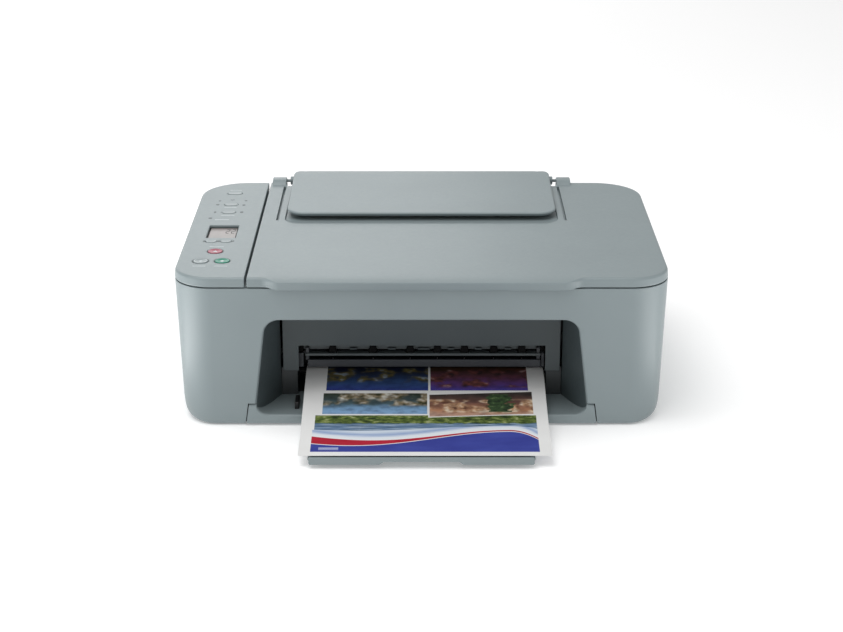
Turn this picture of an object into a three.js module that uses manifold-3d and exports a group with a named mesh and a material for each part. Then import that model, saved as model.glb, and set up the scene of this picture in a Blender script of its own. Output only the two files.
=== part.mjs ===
// Compact three-function inkjet printer: flatbed scanner on top, rear sheet feeder,
// front delivery bay with a pull-out tray. Millimetres, +Z up, front towards -Y.
// Modelled in a body frame whose Y = 0 is the front face and Z = 0 the table,
// then shifted as a whole so that the origin is the middle of the footprint.
import * as THREE from "three";
import { mergeVertices } from "three/addons/utils/BufferGeometryUtils.js";
import Module from "manifold-3d";

const wasm = await Module();
wasm.setup();

// ---------------------------------------------------------------- driving dimensions
const HALF_W = 217.5; // half of the 435 mm width
const DEPTH = 300; // casing depth, front face to rear face
const SEAM_Z = 131; // joint between casing and cover
const TOP_Z = 139.5; // upper face of cover and control panel
const R_FRONT = 35; // corner radii in plan
const R_REAR = 45;
const WALL = 2.5;
const PANEL_X = -153.5; // right-hand edge of the control panel
const COVER_X = -151.8; // left-hand edge of the document cover
const HINGE_Y = 300, HINGE_Z = 136; // document cover pivot
const SUP_Y = 304, SUP_Z = 140; // paper support pivot
const FLAP_Y = 49.5, FLAP_Z = 101; // access cover pivot
const PATH_Z = 31.4; // underside of the paper in the print zone
const FRONT_Y = -90, REAR_Y = 316; // extremes with the tray drawn out
const FEED = [122, 25], IDLER = [97, 25], EJECT = [72, 25.7], STAR = [72, 37.0];
const PINION = [122 + 18 * Math.SQRT1_2, 25 + 18 * Math.SQRT1_2];
const PODS = [-81, -44.3, -10.3, 14.5, 39.3, 65.9, 91.6]; // star wheel stations along X

// ---------------------------------------------------------------- helpers
function toSolid(geometry) {
  const g = geometry.index ? geometry.toNonIndexed() : geometry.clone();
  for (const a of Object.keys(g.attributes)) if (a !== "position") g.deleteAttribute(a);
  const m = mergeVertices(g, 1e-3);
  const v = new Float32Array(m.attributes.position.array);
  const make = (t) => new wasm.Manifold(new wasm.Mesh({ numProp: 3, vertProperties: v, triVerts: t }));
  const t = new Uint32Array(m.index.array);
  const s = make(t);
  if (s.volume() >= 0) return s;
  for (let i = 0; i < t.length; i += 3) [t[i + 1], t[i + 2]] = [t[i + 2], t[i + 1]];
  return make(t);
}
const join = (...s) => s.flat().reduce((a, b) => a.add(b));
const cut = (a, ...s) => s.flat().reduce((x, b) => x.subtract(b), a);
function box(x0, x1, y0, y1, z0, z1) {
  const g = new THREE.BoxGeometry(x1 - x0, y1 - y0, z1 - z0);
  g.translate((x0 + x1) / 2, (y0 + y1) / 2, (z0 + z1) / 2);
  return toSolid(g);
}
function cylX(r, x0, x1, y, z, n = 16) {
  const g = new THREE.CylinderGeometry(r, r, x1 - x0, n);
  g.rotateZ(Math.PI / 2).translate((x0 + x1) / 2, y, z);
  return toSolid(g);
}
function cylZ(r, x, y, z0, z1, n = 20) {
  const g = new THREE.CylinderGeometry(r, r, z1 - z0, n);
  g.rotateX(Math.PI / 2).translate(x, y, (z0 + z1) / 2);
  return toSolid(g);
}
const shapeOf = (pts) => new THREE.Shape(pts.map((p) => new THREE.Vector2(p[0], p[1])));
function prism(pts, depth, ex, ey, ez, origin) {
  const g = new THREE.ExtrudeGeometry(shapeOf(pts), { depth, bevelEnabled: false, curveSegments: 4 });
  const m = new THREE.Matrix4().makeBasis(ex, ey, ez).setPosition(origin);
  return toSolid(g.applyMatrix4(m));
}
const V = (x, y, z) => new THREE.Vector3(x, y, z);
const prismX = (pts, x0, x1) => prism(pts, x1 - x0, V(0, 1, 0), V(0, 0, 1), V(1, 0, 0), V(x0, 0, 0)); // [y,z]
const prismY = (pts, y0, y1) => prism(pts, y1 - y0, V(1, 0, 0), V(0, 0, 1), V(0, -1, 0), V(0, y1, 0)); // [x,z]
const prismZ = (pts, z0, z1) => prism(pts, z1 - z0, V(1, 0, 0), V(0, 1, 0), V(0, 0, 1), V(0, 0, z0)); // [x,y]
// A stack of outlines with the same number of points, skinned by moving the rings of an extrusion.
function loft(sections, place) {
  const n = sections.length;
  const g = new THREE.ExtrudeGeometry(shapeOf(sections[0]), { depth: n - 1, steps: n - 1, bevelEnabled: false });
  const p = g.attributes.position;
  for (let i = 0; i < p.count; i++) {
    const k = Math.round(p.getZ(i));
    let best = 0, d = Infinity;
    sections[0].forEach((q, j) => {
      const e = (q[0] - p.getX(i)) ** 2 + (q[1] - p.getY(i)) ** 2;
      if (e < d) { d = e; best = j; }
    });
    const w = place(k, sections[k][best]);
    p.setXYZ(i, w[0], w[1], w[2]);
  }
  return toSolid(g);
}
// Rounded plan outline of the casing, drawn in by ix at the sides, yf at the front and yr at the rear.
function plan(ix = 0, yf = ix, yr = yf, n = 7) {
  const out = [];
  const arc = (cx, cy, rx, ry, a0) => {
    for (let i = 0; i <= n; i++) {
      const a = a0 + (i / n) * (Math.PI / 2);
      out.push([cx + rx * Math.cos(a), cy + ry * Math.sin(a)]);
    }
  };
  const f = R_FRONT, r = R_REAR;
  arc(HALF_W - r, DEPTH - r, r - ix, r - yr, 0);
  arc(-HALF_W + r, DEPTH - r, r - ix, r - yr, Math.PI / 2);
  arc(-HALF_W + f, f, f - ix, f - yf, Math.PI);
  arc(HALF_W - f, f, f - ix, f - yf, 1.5 * Math.PI);
  return out;
}
const stack = (levels, n = 7) =>
  loft(levels.map((l) => plan(l[1], l[2], l[3], n)), (k, p) => [p[0], p[1], levels[k][0]]);
function roundRect(x0, x1, y0, y1, r, n = 4) {
  const out = [];
  for (const [cx, cy, a0] of [[x1 - r, y1 - r, 0], [x0 + r, y1 - r, 1], [x0 + r, y0 + r, 2], [x1 - r, y0 + r, 3]])
    for (let i = 0; i <= n; i++) {
      const a = (a0 + i / n) * (Math.PI / 2);
      out.push([cx + r * Math.cos(a), cy + r * Math.sin(a)]);
    }
  return out;
}
const root = new THREE.Group();
root.position.set(0, -(FRONT_Y + REAR_Y) / 2, 0);
function add(name, solid, color, roughness = 0.5, metalness = 0) {
  const m = solid.getMesh(), n = m.numProp;
  const v = new Float32Array(m.numVert * 3);
  for (let i = 0; i < m.numVert; i++) v.set(m.vertProperties.subarray(i * n, i * n + 3), i * 3);
  const g = new THREE.BufferGeometry();
  g.setAttribute("position", new THREE.BufferAttribute(v, 3));
  g.setIndex(new THREE.BufferAttribute(m.triVerts, 1));
  g.computeVertexNormals();
  const mesh = new THREE.Mesh(g, new THREE.MeshStandardMaterial({ color, roughness, metalness }));
  mesh.name = name;
  root.add(mesh);
}
const SAGE = 0x8f9b9d, DARK = 0x4a5355, BLACK = 0x1b1d1f, STEEL = 0xb4b7ba, WHITE = 0xf2f2f0;

// ---------------------------------------------------------------- casing
// Delivery bay section: a trapezium with rounded upper corners.
function bay(hb, ht, zb, zt, r, n = 5) {
  const out = [[-hb, zb], [hb, zb]];
  for (const s of [1, -1])
    for (let i = 0; i <= n; i++) {
      const a = ((s > 0 ? i : n - i) / n) * (Math.PI / 2);
      out.push([s * (ht - r + r * Math.cos(a)), zt - r + r * Math.sin(a)]);
    }
  return out;
}
const atY = (ys) => (k, p) => [p[0], ys[k], p[1]];
const caseLevels = [[1.0, 12.2, 5.2], [2.2, 9.3, 3.9], [4.5, 6.9, 3.0], [8, 5.3, 2.5], [13, 4.2, 2.2], [20, 3.6, 2.0], [130.6, 0, 0]];
const caseOuter = stack(caseLevels);
const caseInner = stack([[0, 14.7, 7.7], [2.2, 11.8, 6.4], [4.5, 9.4, 5.5], [8, 7.8, 5.0], [13, 6.7, 4.7], [20, 6.1, 4.5], [133, 2.5, 2.5]]);
const bayOuter = loft([bay(148.7, 139, 21.3, 102.8, 14), bay(129, 129, 21.3, 106.2, 2)], atY([1.2, 51]));
const bayInner = loft([bay(146.9, 136.8, 14, 100.4, 13), bay(127, 127, 14, 104, 0.8)], atY([-6, 52]));
const lipCut = prismY([[-156.2, -1], [156.2, -1], [153.5, 21], [-153.5, 21]], -8, 40);
const powerHole = box(139.6, 164.4, 290, 305, 21.6, 38.4);
const usbHole = box(-150.4, -135.6, 290, 305, 19.6, 32.4);
let caseBody = join(cut(caseOuter, caseInner), bayOuter);
caseBody = cut(caseBody, bayInner, lipCut, powerHole, usbHole,
  cylX(1.9, -131, -125, FLAP_Y, FLAP_Z), cylX(1.9, 125, 131, FLAP_Y, FLAP_Z), box(-136, 136, 285, 310, 123.8, 135));
add("main_case", caseBody, SAGE, 0.55);

// Base: floor pan, front sill with a dished landing, and the slot that houses the tray.
const floorPan = stack([[2, 12.8, 7.2], [5, 9.8, 6.1]]);
const sill = prismY([[-155.8, 2], [155.8, 2], [153.1, 20.6], [-153.1, 20.6]], 2.4, 60);
const dish = (() => {
  const pts = [[-147.6, 30], [-146.7, 21]];
  for (let i = 0; i <= 5; i++) { const a = (i / 5) * (Math.PI / 2); pts.push([-146.2 + 11 * (1 - Math.cos(a)), 21.4 - 11 * Math.sin(a)]); }
  for (let i = 5; i >= 0; i--) { const a = (i / 5) * (Math.PI / 2); pts.push([146.2 - 11 * (1 - Math.cos(a)), 21.4 - 11 * Math.sin(a)]); }
  pts.push([146.7, 21], [147.6, 30]);
  return prismY(pts, -5, 58);
})();
let base = join(floorPan, cut(sill, dish));
const traySlot = box(-104.8, 104.8, -5, 126, 3.9, 8.5);
base = cut(join(base, box(-108, 108, 55, 128, 4.5, 10.4)), traySlot);
base = join(base, box(-130, -127.5, 58.5, 150, 4.5, 20), box(127.5, 130, 58.5, 70, 4.5, 20));
base = join(base, prismX([[16, 10.2], [34, 10.2], [33, 17.2], [17.5, 15.4]], -113.5, -109.6));
add("base_case", base, SAGE, 0.55);

for (const [n, x, y] of [["foot_front_left", -165, 42], ["foot_front_right", 165, 42], ["foot_rear_left", -165, 248], ["foot_rear_right", 165, 248]])
  add(n, cylZ(8.5, x, y, 0, 1.7, 20), BLACK, 0.9);

// Scanner frame: deck under the cover, rebate for the glass and the tub that houses the scan head.
const deck = stack([[126, 3.3, 3.3], [130.7, 3.1, 3.1]]);
let frame = join(deck, box(-126, 192, 8, 246, 108, 127));
frame = cut(frame, box(-124, 190, 10, 244, 110, 126.2), box(-115.5, 181.5, 19, 235, 120, 135),
  box(-119.3, 185.3, 14.7, 239.3, 128, 135), box(-121, 121, 262, 296, 120, 135), box(-130, 130, 286, 310, 120, 135));
add("scanner_frame", frame, SAGE, 0.55);
add("platen_glass", box(-119, 185, 15, 239, 128.3, 130.6), 0xcfe0dd, 0.05);
add("scan_rail", cylX(3, -123.6, 189.6, 127, 114, 12), STEEL, 0.3, 1);
add("scan_head", cut(join(box(-112, -92, 14, 240, 117.6, 126), box(-110, -94, 119, 135, 111, 118)), cylX(3.4, -120, -80, 127, 114, 12)), BLACK, 0.6);

// Control panel, top left.
const lidLevels = [[SEAM_Z, 0, 0], [135, 0, 0], [137, 0.6, 0.6], [138.4, 1.8, 1.8], [139.2, 3.4, 3.4], [TOP_Z, 5.2, 5.2]];
const lidSolid = stack(lidLevels);
const hollow = (z) => stack([[SEAM_Z - 1, 2.5, 2.5], [z, 2.7, 2.7]]);
const ROUND_BUTTONS = { stop_button: [-186, 75.5], mono_start_button: [-196.2, 47.6], color_start_button: [-177, 48.1] };
const OVAL_BUTTONS = { power_button: [-184.8, 259.7, 7, 4.2], wireless_button: [-185, 221.5, 6.5, 4.2], info_button: [-185.1, 195.9, 6.5, 4.2],
  select_button_left: [-192.6, 104.9, 5.0, 3.8], select_button_right: [-179.2, 104.9, 5.0, 3.8] };
const oval = (c, g = 0) => roundRect(c[0] - c[2] - g, c[0] + c[2] + g, c[1] - c[3] - g, c[1] + c[3] + g, c[3] + g - 0.01, 5);
let panel = cut(lidSolid, box(PANEL_X, 300, -50, 400, 100, 200), cut(hollow(137.2), box(PANEL_X - 2.3, 300, -50, 400, 100, 200)));
panel = cut(panel, box(-198.6, -171.4, 115.4, 154.2, 130, 145));
for (const c of Object.values(ROUND_BUTTONS)) panel = cut(panel, cylZ(7.0, c[0], c[1], 130, 145, 20));
for (const c of Object.values(OVAL_BUTTONS)) panel = cut(panel, prismZ(oval(c, 0.4), 130, 145));
add("operation_panel", panel, SAGE, 0.5);
add("panel_board", box(-206, -160, 32, 270, 131.2, 132.7), 0x2c6b46, 0.6);
add("lcd_module", join(box(-200.2, -169.8, 113.8, 155.8, 133.1, 136.3), box(-198.1, -171.9, 115.9, 153.7, 136.2, 137.4)), 0x9a9c98, 0.25);
const tint = { stop_button: 0xb5485a, mono_start_button: SAGE, color_start_button: 0x1f9a72 };
for (const [n, c] of Object.entries(ROUND_BUTTONS))
  add(n, join(cylZ(6.6, c[0], c[1], 134.3, 140, 20), cylZ(7.9, c[0], c[1], 135.5, 136.8, 20)), tint[n], 0.45);
for (const [n, c] of Object.entries(OVAL_BUTTONS))
  add(n, join(prismZ(oval(c), 134.3, 139.9), prismZ(oval(c, 1.1), 135.5, 136.8)), SAGE, 0.45);

// Document cover with its grip, finger recess, side grooves and hinge ears.
let lid = cut(lidSolid, box(-400, COVER_X, -50, 400, 100, 200));
const inside = box(COVER_X + 2.4, 400, -50, 400, 100, 200);
const thick = box(-138, 138, 146, 400, 134.8, 200);
lid = cut(lid, cut(hollow(137.2).intersect(inside), thick));
const gripSec = [[5, 131.3], [-0.9, 131.3], [-1.2, 129.8], [-5.2, 129.5], [-6.5, 130.5], [-7.3, 136.8], [-6.9, 138.0], [-5.2, 138.7], [5, 139.45]];
const gripAt = ([, f, d]) => gripSec.map(([y, z]) => [y > 0 ? y : 0.2 + (y - 0.2) * f, z < 131.3 ? 131.3 + (z - 131.3) * d : 131.3 + (z - 131.3) * (0.6 + 0.4 * f)]);
const grip = [[-140, 0, 0], [-136.5, 0.55, 0.02], [-129, 0.9, 0.8], [-124, 1, 1], [124, 1, 1], [129, 0.9, 0.8], [136.5, 0.55, 0.02], [140, 0, 0]];
lid = join(lid, loft(grip.map(gripAt), (k, p) => [grip[k][0], p[0], p[1]]));
const recess = prismX([[150, 139.8], [154, 139.5], [163, 138.3], [172, 137.1], [262, 137.0], [262, 150], [150, 150]], -130.4, 130.4);
lid = cut(lid, recess, box(-122, 122, 262, 320, 100, 200), box(-135.2, 135.2, 286, 320, 100, 200));
for (const s of [-1, 1]) lid = cut(lid, box(Math.min(s * 135.5, s * 137.8), Math.max(s * 135.5, s * 137.8), 170, 284.6, 135, 150));
const earPts = [[-11, -4.7], [0, -4.8], [3.2, -3.6], [4.9, -0.8], [6.8, -0.4], [7.1, 3], [6.6, 6.2], [4.6, 7.8], [-7, 7.8], [-11, 4.5]].map(([a, b]) => [HINGE_Y + a, HINGE_Z + b]);
for (const s of [-1, 1]) {
  const X = (a, b) => [Math.min(s * a, s * b), Math.max(s * a, s * b)];
  lid = join(lid, prismX(earPts, ...X(136, 149.8)));
  lid = cut(lid, box(...X(139.4, 146.4), 294.6, 320, 125, 141.2), cylX(2.2, ...X(137.9, 148.2), HINGE_Y, HINGE_Z, 14),
    cylX(1.8, ...X(134, 137.5), SUP_Y, SUP_Z, 12));
}
add("document_cover", lid, SAGE, 0.5);
add("document_pad", cut(box(-118, 184, 16, 238, 131.1, 134.4)), WHITE, 0.8);
for (const [n, s] of [["hinge_bracket_left", -1], ["hinge_bracket_right", 1]]) {
  const X = (a, b) => [Math.min(s * a, s * b), Math.max(s * a, s * b)];
  add(n, join(cylX(4.2, ...X(139.9, 145.9), HINGE_Y, HINGE_Z, 16), prismX([[300.4, 134], [303.6, 134], [303.6, 104], [300.4, 104]], ...X(139.9, 145.9)),
    cylX(1.9, ...X(138.2, 147.9), HINGE_Y, HINGE_Z, 14)), DARK, 0.5);
}

// Paper support: rounded plate folded flat over the back of the cover.
const supPlan = (g) => roundRect(-128.5 + g, 128.5 - g, 176 + g, REAR_Y - g, 16 - g, 6);
const supTop = [[176, 145.0], [240, 146.6], [285, 148.2], [304, 148.8], [310, 148.4], [314, 146.8], [REAR_Y, 143.6]];
const supBot = [[REAR_Y, 140.4], [312, 140.2], [305, 143.4], [285, 144.4], [240, 142.8], [176, 141.2]];
let support = prismX([...supTop, ...supBot], -128.5, 128.5).intersect(prismZ(supPlan(0), 100, 200));
for (const s of [-1, 1]) {
  const X = (a, b) => [Math.min(s * a, s * b), Math.max(s * a, s * b)];
  support = join(support, cylX(4.2, ...X(124, 132.4), SUP_Y, SUP_Z, 16), cylX(1.5, ...X(132, 137.2), SUP_Y, SUP_Z, 12));
}
add("paper_support", support, SAGE, 0.5);

// ---------------------------------------------------------------- delivery bay
let flap = box(-126.1, 126.1, 48.2, 50.8, 32.5, 103.1);
flap = cut(flap, box(-113, 113, 40, 60, 20, 60));
flap = join(flap, cylX(1.6, -128.4, -125, FLAP_Y, FLAP_Z, 12), cylX(1.6, 125, 128.4, FLAP_Y, FLAP_Z, 12));
add("access_cover", flap, DARK, 0.5);

let holder = join(box(-112, 112, 78, 82.2, 44, 52), box(-112, 112, 60, 63, 44.2, 47.8), box(-112, 112, 59, 62, 33.4, 40.3),
  box(-112, -106, 59, 82, 33.4, 52), box(106, 112, 59, 82, 33.4, 52));
for (const x of [-62, -27, 2, 27, 52, 79]) holder = join(holder, box(x - 1.3, x + 1.3, 60, 80, 44.2, 50));
for (const x of PODS) holder = join(holder, box(x - 4, x + 4, 66.5, 79, 34.4, 52));
for (const x of PODS) holder = cut(holder, box(x - 1.2, x + 1.2, 66, 77.6, 30, 42.6));
holder = cut(holder, cylX(1.7, -104, 104, STAR[0], STAR[1], 12));
add("star_wheel_holder", holder, BLACK, 0.6);
const star = (x) => {
  const pts = [];
  for (let i = 0; i < 24; i++) { const a = (i / 24) * 2 * Math.PI, r = i % 2 ? 4.0 : 4.9; pts.push([STAR[0] + r * Math.cos(a), STAR[1] + r * Math.sin(a)]); }
  return prismX(pts, x - 0.5, x + 0.5);
};
add("star_wheels", join(cylX(1.2, -88, 98, STAR[0], STAR[1], 8), PODS.map(star)), STEEL, 0.4, 1);
add("eject_roller", join(cylX(2.6, -147.4, 118, EJECT[0], EJECT[1], 12), cylX(2.0, -156.5, -147, EJECT[0], EJECT[1], 12), PODS.map((x) => cylX(5.4, x - 4.5, x + 4.5, EJECT[0], EJECT[1], 16))), BLACK, 0.8);
add("print_platen", join(box(-113, 113, 80.5, 112, 20, 27.5), [-100, -75, -50, -25, 0, 25, 50, 75, 100].map((x) => box(x - 1, x + 1, 80.5, 112, 27, 30.8)), box(-104, -100, 84, 108, 10.6, 21), box(100, 104, 84, 108, 10.6, 21)), BLACK, 0.6);
add("feed_roller", join(cylX(6.1, -110, 110, FEED[0], FEED[1], 20), cylX(3, -156.5, 207, FEED[0], FEED[1], 12)), STEEL, 0.35, 1);
let pinch = join(box(-112, 112, 132, 146, 40, 43), [-88, -44, 0, 44, 88].map((x) => join(box(x - 14, x + 14, 118, 134, 39.4, 42.4), cylX(3.6, x - 12, x + 12, 122, 36.0, 12))));
add("pinch_roller_holder", pinch, BLACK, 0.6);

// Gear train on the left-hand chassis plate, module 1.
function gear(c, teeth, phase, x0, x1, bore) {
  const pts = [], pr = teeth / 2, step = (2 * Math.PI) / teeth;
  for (let i = 0; i < teeth; i++)
    for (const [da, r] of [[-0.98 / (pr - 1.15), pr - 1.15], [-0.3 / (pr + 0.8), pr + 0.8], [0.3 / (pr + 0.8), pr + 0.8], [0.98 / (pr - 1.15), pr - 1.15]]) {
      const a = phase + i * step + da;
      pts.push([c[0] + r * Math.cos(a), c[1] + r * Math.sin(a)]);
    }
  return cut(prismX(pts, x0, x1), cylX(bore, x0 - 1, x1 + 1, c[0], c[1], 12));
}
const EJ = [EJECT[0], EJECT[1]];
// A tooth of one wheel of a pair faces a gap of the other along the line of centres.
const mesh = (a, na, pa, b, nb) => {
  const t = Math.atan2(b[1] - a[1], b[0] - a[0]);
  return t + Math.PI + ((t - pa) * na) / nb + Math.PI / nb;
};
const IDLER_PHASE = mesh(FEED, 24, 0, IDLER, 26);
const EJECT_PHASE = mesh(IDLER, 26, IDLER_PHASE, EJ, 24);
const PINION_PHASE = mesh(FEED, 24, 0, PINION, 12);
add("feed_gear", gear(FEED, 24, 0, -155.5, -150.5, 3.3), WHITE, 0.5);
add("idler_gear", join(gear(IDLER, 26, IDLER_PHASE, -155.5, -150.5, 1), cylX(2, -156.4, -147.6, IDLER[0], IDLER[1], 12)), WHITE, 0.5);
add("eject_gear", gear(EJ, 24, EJECT_PHASE, -155.5, -150.5, 2.3), WHITE, 0.5);
add("motor_pinion", join(gear(PINION, 12, PINION_PHASE, -155.5, -151, 1), cylX(1.6, -159.5, -151.2, PINION[0], PINION[1], 10)), STEEL, 0.4, 1);
add("feed_motor", join(cylX(12, -190, -160.5, PINION[0], PINION[1], 20), box(-160.6, -160.0, PINION[0] - 16, PINION[0] + 16, PINION[1] - 10, PINION[1] + 10)), STEEL, 0.35, 1);

// ---------------------------------------------------------------- chassis, carriage and drive
const plateSide = [[64, 12], [150, 12], [150, 97], [96, 97], [80, 60], [64, 60]];
let chassis = join(prismX([[148, 48], [150, 48], [150, 98], [138, 98], [138, 93], [139.4, 93], [139.4, 96.4], [148, 96.4]], -150, 206),
  prismX(plateSide, -150, -148.4), prismX(plateSide, 204.6, 206));
chassis = cut(chassis, cylX(3.4, -160, 210, FEED[0], FEED[1], 12), cylX(3.0, -160, -140, EJECT[0], EJECT[1], 12), cylX(2.4, -160, -140, IDLER[0], IDLER[1], 12));
add("chassis", chassis, STEEL, 0.35, 1);
const CX = 138; // carriage centre at its parking place
let carriage = prismX([[86, 33.4], [114, 33.4], [114, 46], [136, 46], [136, 95], [70, 95], [70, 55.5], [86, 55.5]], CX - 34, CX + 34);
const cartProfile = (g) => [[76 - g, 58 - g], [89 - g, 58 - g], [89 - g, 35 - g], [110.5 + g, 35 - g], [110.5 + g, 50 - g], [124 + g, 50 - g], [124 + g, 90], [76 - g, 90]];
for (const s of [-1, 1]) {
  const x0 = CX + s * 16.4 - 15.3, x1 = CX + s * 16.4 + 15.3;
  carriage = cut(carriage, prismX(cartProfile(0.4), x0, x1), box(x0, x1, 60, 76.2, 62, 100), box(x0, x1, 60, 124.4, 80, 100));
}
carriage = join(carriage, box(CX - 10, CX + 10, 135.5, 139.9, 84.6, 91.4));
add("carriage", carriage, BLACK, 0.6);
for (const [n, s, col] of [["black_cartridge", -1, BLACK], ["color_cartridge", 1, 0x2a2d31]])
  add(n, join(prismX(cartProfile(0).map(([y, z]) => [y, Math.min(z, 86)]), CX + s * 16.4 - 14.8, CX + s * 16.4 + 14.8), box(CX + s * 16.4 - 10, CX + s * 16.4 + 10, 73, 77, 66, 84)), col, 0.5);
const loop = (r) => { const o = []; for (const [cx, a0] of [[188, -1], [-138, 1]]) for (let i = 0; i <= 8; i++) { const a = (a0 + i / 4) * (Math.PI / 2) ; o.push([cx + r * Math.cos(a), 143.4 + r * Math.sin(a)]); } return o; };
add("carriage_belt", cut(prismZ(loop(3.2), 86, 90), prismZ(loop(2.3), 80, 95)), BLACK, 0.8);
add("motor_pulley", join(cylZ(1.95, 188, 143.4, 85.4, 90.6, 16), cylZ(0.9, 188, 143.4, 82.4, 90.6, 8)), STEEL, 0.3, 1);
add("idler_pulley", join(cylZ(1.95, -138, 143.4, 85.4, 90.6, 16), cylZ(0.9, -138, 143.4, 82.4, 90.6, 8)), BLACK, 0.5);
add("carriage_motor", join(cylZ(12, 188, 143.4 - 8.2, 50, 78, 20), box(178, 198, 130, 147.4, 78, 79.6), cylZ(2.5, 188, 143.4, 79, 82, 12)), STEEL, 0.35, 1);
add("encoder_strip", box(-147.9, 204, 137.9, 138.5, 99, 104), 0x8fa0a0, 0.2);

// ---------------------------------------------------------------- rear feeder
const slope = (s, n) => [206 + s * 0.687 - n * 0.727, 31 + s * 0.727 + n * 0.687]; // s up the slope, n off its face
let tray = prismX([[131, 28.6], [206.9, 28.6], slope(0, -2.4), slope(124, -2.4), slope(124, 0), [206, 31], [131, 30.8]], -119, 119);
for (const s of [-1, 1]) tray = join(tray, prismX([slope(8, -2.4), slope(124, -2.4), slope(124, 11), slope(20, 11)], Math.min(s * 117, s * 119), Math.max(s * 117, s * 119)));
for (const x of [-95, -60, -22, 22, 60, 95]) tray = join(tray, prismX([slope(6, -0.5), slope(120, -0.5), slope(120, 1), slope(10, 1)], x - 1, x + 1));
add("rear_tray", tray, DARK, 0.55);
for (const [n, s] of [["paper_guide_left", -1], ["paper_guide_right", 1]]) {
  const X = (a, b) => [Math.min(s * a, s * b), Math.max(s * a, s * b)];
  add(n, join(prismX([slope(58, 1.5), slope(118, 1.5), slope(121, 13), slope(62, 13)], ...X(109.5, 111.6)), prismX([slope(66, 1.4), slope(112, 1.4), slope(112, 3), slope(66, 3)], ...X(88, 111))), DARK, 0.5);
}
const PK = slope(36, 16.5);
add("pickup_roller", join(cylX(14, -13, 13, PK[0], PK[1], 24), cylX(3, -160, 96, PK[0], PK[1], 12)), BLACK, 0.9);

add("purge_unit", join(box(114.5, 170, 84, 115, 8, 26), box(117, 135, 88, 112, 25, 32.4), box(142, 164, 88, 112, 25, 32.4)), DARK, 0.6);
add("waste_ink_pad", box(-60, 96, 214, 286, 5.4, 17), WHITE, 0.95);
add("main_board", join(box(-196, -76, 205, 278, 9, 10.6), box(-150, -126, 225, 249, 10.4, 13), box(-190, -170, 230, 260, 10.4, 20), box(-112, -92, 240, 252, 10.4, 13)), 0x2c6b46, 0.6);
add("power_supply", box(123, 196, 206, 279, 6, 50), BLACK, 0.6);
add("power_inlet", cut(box(140, 164, 282, 298.2, 22, 38), box(143.5, 160.5, 284, 300, 24.5, 35.5)), BLACK, 0.5);
add("usb_port", cut(box(-150, -136, 282, 298.2, 20, 32), box(-147.4, -138.6, 284, 300, 21.6, 30.4)), STEEL, 0.35, 1);

// ---------------------------------------------------------------- delivery tray and paper
let tray1 = cut(box(-104, 104, -47.5, 72, 4.2, 8.1), box(-97.4, 97.4, -60, 60, 6.2, 12));
add("output_tray", tray1, SAGE, 0.5);
const noseX = [[-95, 9.9], [95, 9.9], [95.6, 4.6], [94.2, 3.6], [36, 3.6], [32, 6.3], [-32, 6.3], [-36, 3.6], [-94.2, 3.6], [-95.6, 4.6]];
add("tray_extension", join(box(-96.6, 96.6, -88, 12, 6.5, 7.9), prismY(noseX, -90, -87)), SAGE, 0.5);
const line = [[189, 31.4], [130, 31.4], [66, 31.4], [50, 29.7], [30, 26.3], [10, 22.3], [-10, 18.4], [-35, 14.3], [-60, 11.8], [-86.4, 10.5]];
add("printed_sheet", prismX([...line, ...[...line].reverse().map(([y, z]) => [y, z + 0.25])], -104.95, 110.95), WHITE, 0.8);

export default root;
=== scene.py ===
import bpy, bmesh, math
from mathutils import Vector, Matrix

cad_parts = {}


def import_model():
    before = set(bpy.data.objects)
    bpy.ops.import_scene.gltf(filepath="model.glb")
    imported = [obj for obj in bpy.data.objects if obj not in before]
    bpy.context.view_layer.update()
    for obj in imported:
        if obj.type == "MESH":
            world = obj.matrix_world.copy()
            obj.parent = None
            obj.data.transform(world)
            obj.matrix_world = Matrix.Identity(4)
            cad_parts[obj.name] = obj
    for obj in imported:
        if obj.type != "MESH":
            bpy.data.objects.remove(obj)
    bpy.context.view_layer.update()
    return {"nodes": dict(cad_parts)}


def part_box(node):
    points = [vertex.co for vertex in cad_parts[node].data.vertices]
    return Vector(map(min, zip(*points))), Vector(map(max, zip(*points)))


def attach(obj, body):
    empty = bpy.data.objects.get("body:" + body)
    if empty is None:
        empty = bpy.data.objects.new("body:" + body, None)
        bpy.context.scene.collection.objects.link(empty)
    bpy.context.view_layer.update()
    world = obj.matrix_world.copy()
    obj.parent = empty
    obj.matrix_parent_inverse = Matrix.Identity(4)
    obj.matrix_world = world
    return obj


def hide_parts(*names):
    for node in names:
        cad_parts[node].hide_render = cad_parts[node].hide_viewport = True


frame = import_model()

# The body frame used below: millimetres, x right, y to the rear from the case's front face, z up.
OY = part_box("main_case")[0].y * 1000.0
NODES = frame["nodes"]
PI = math.pi


def place(p):
    return (p[0] * 0.001, (p[1] + OY) * 0.001, p[2] * 0.001)


# ------------------------------------------------------------------ mesh helpers
def obj(name, verts, faces):
    me = bpy.data.meshes.new(name)
    me.from_pydata([place(v) for v in verts], [], faces)
    me.update()
    o = bpy.data.objects.new(name, me)
    bpy.context.scene.collection.objects.link(o)
    bm = bmesh.new()
    bm.from_mesh(me)
    bmesh.ops.remove_doubles(bm, verts=bm.verts, dist=2e-7)
    bmesh.ops.dissolve_degenerate(bm, edges=bm.edges, dist=1e-7)
    bmesh.ops.recalc_face_normals(bm, faces=bm.faces)
    bm.to_mesh(me)
    bm.free()
    return o


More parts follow.
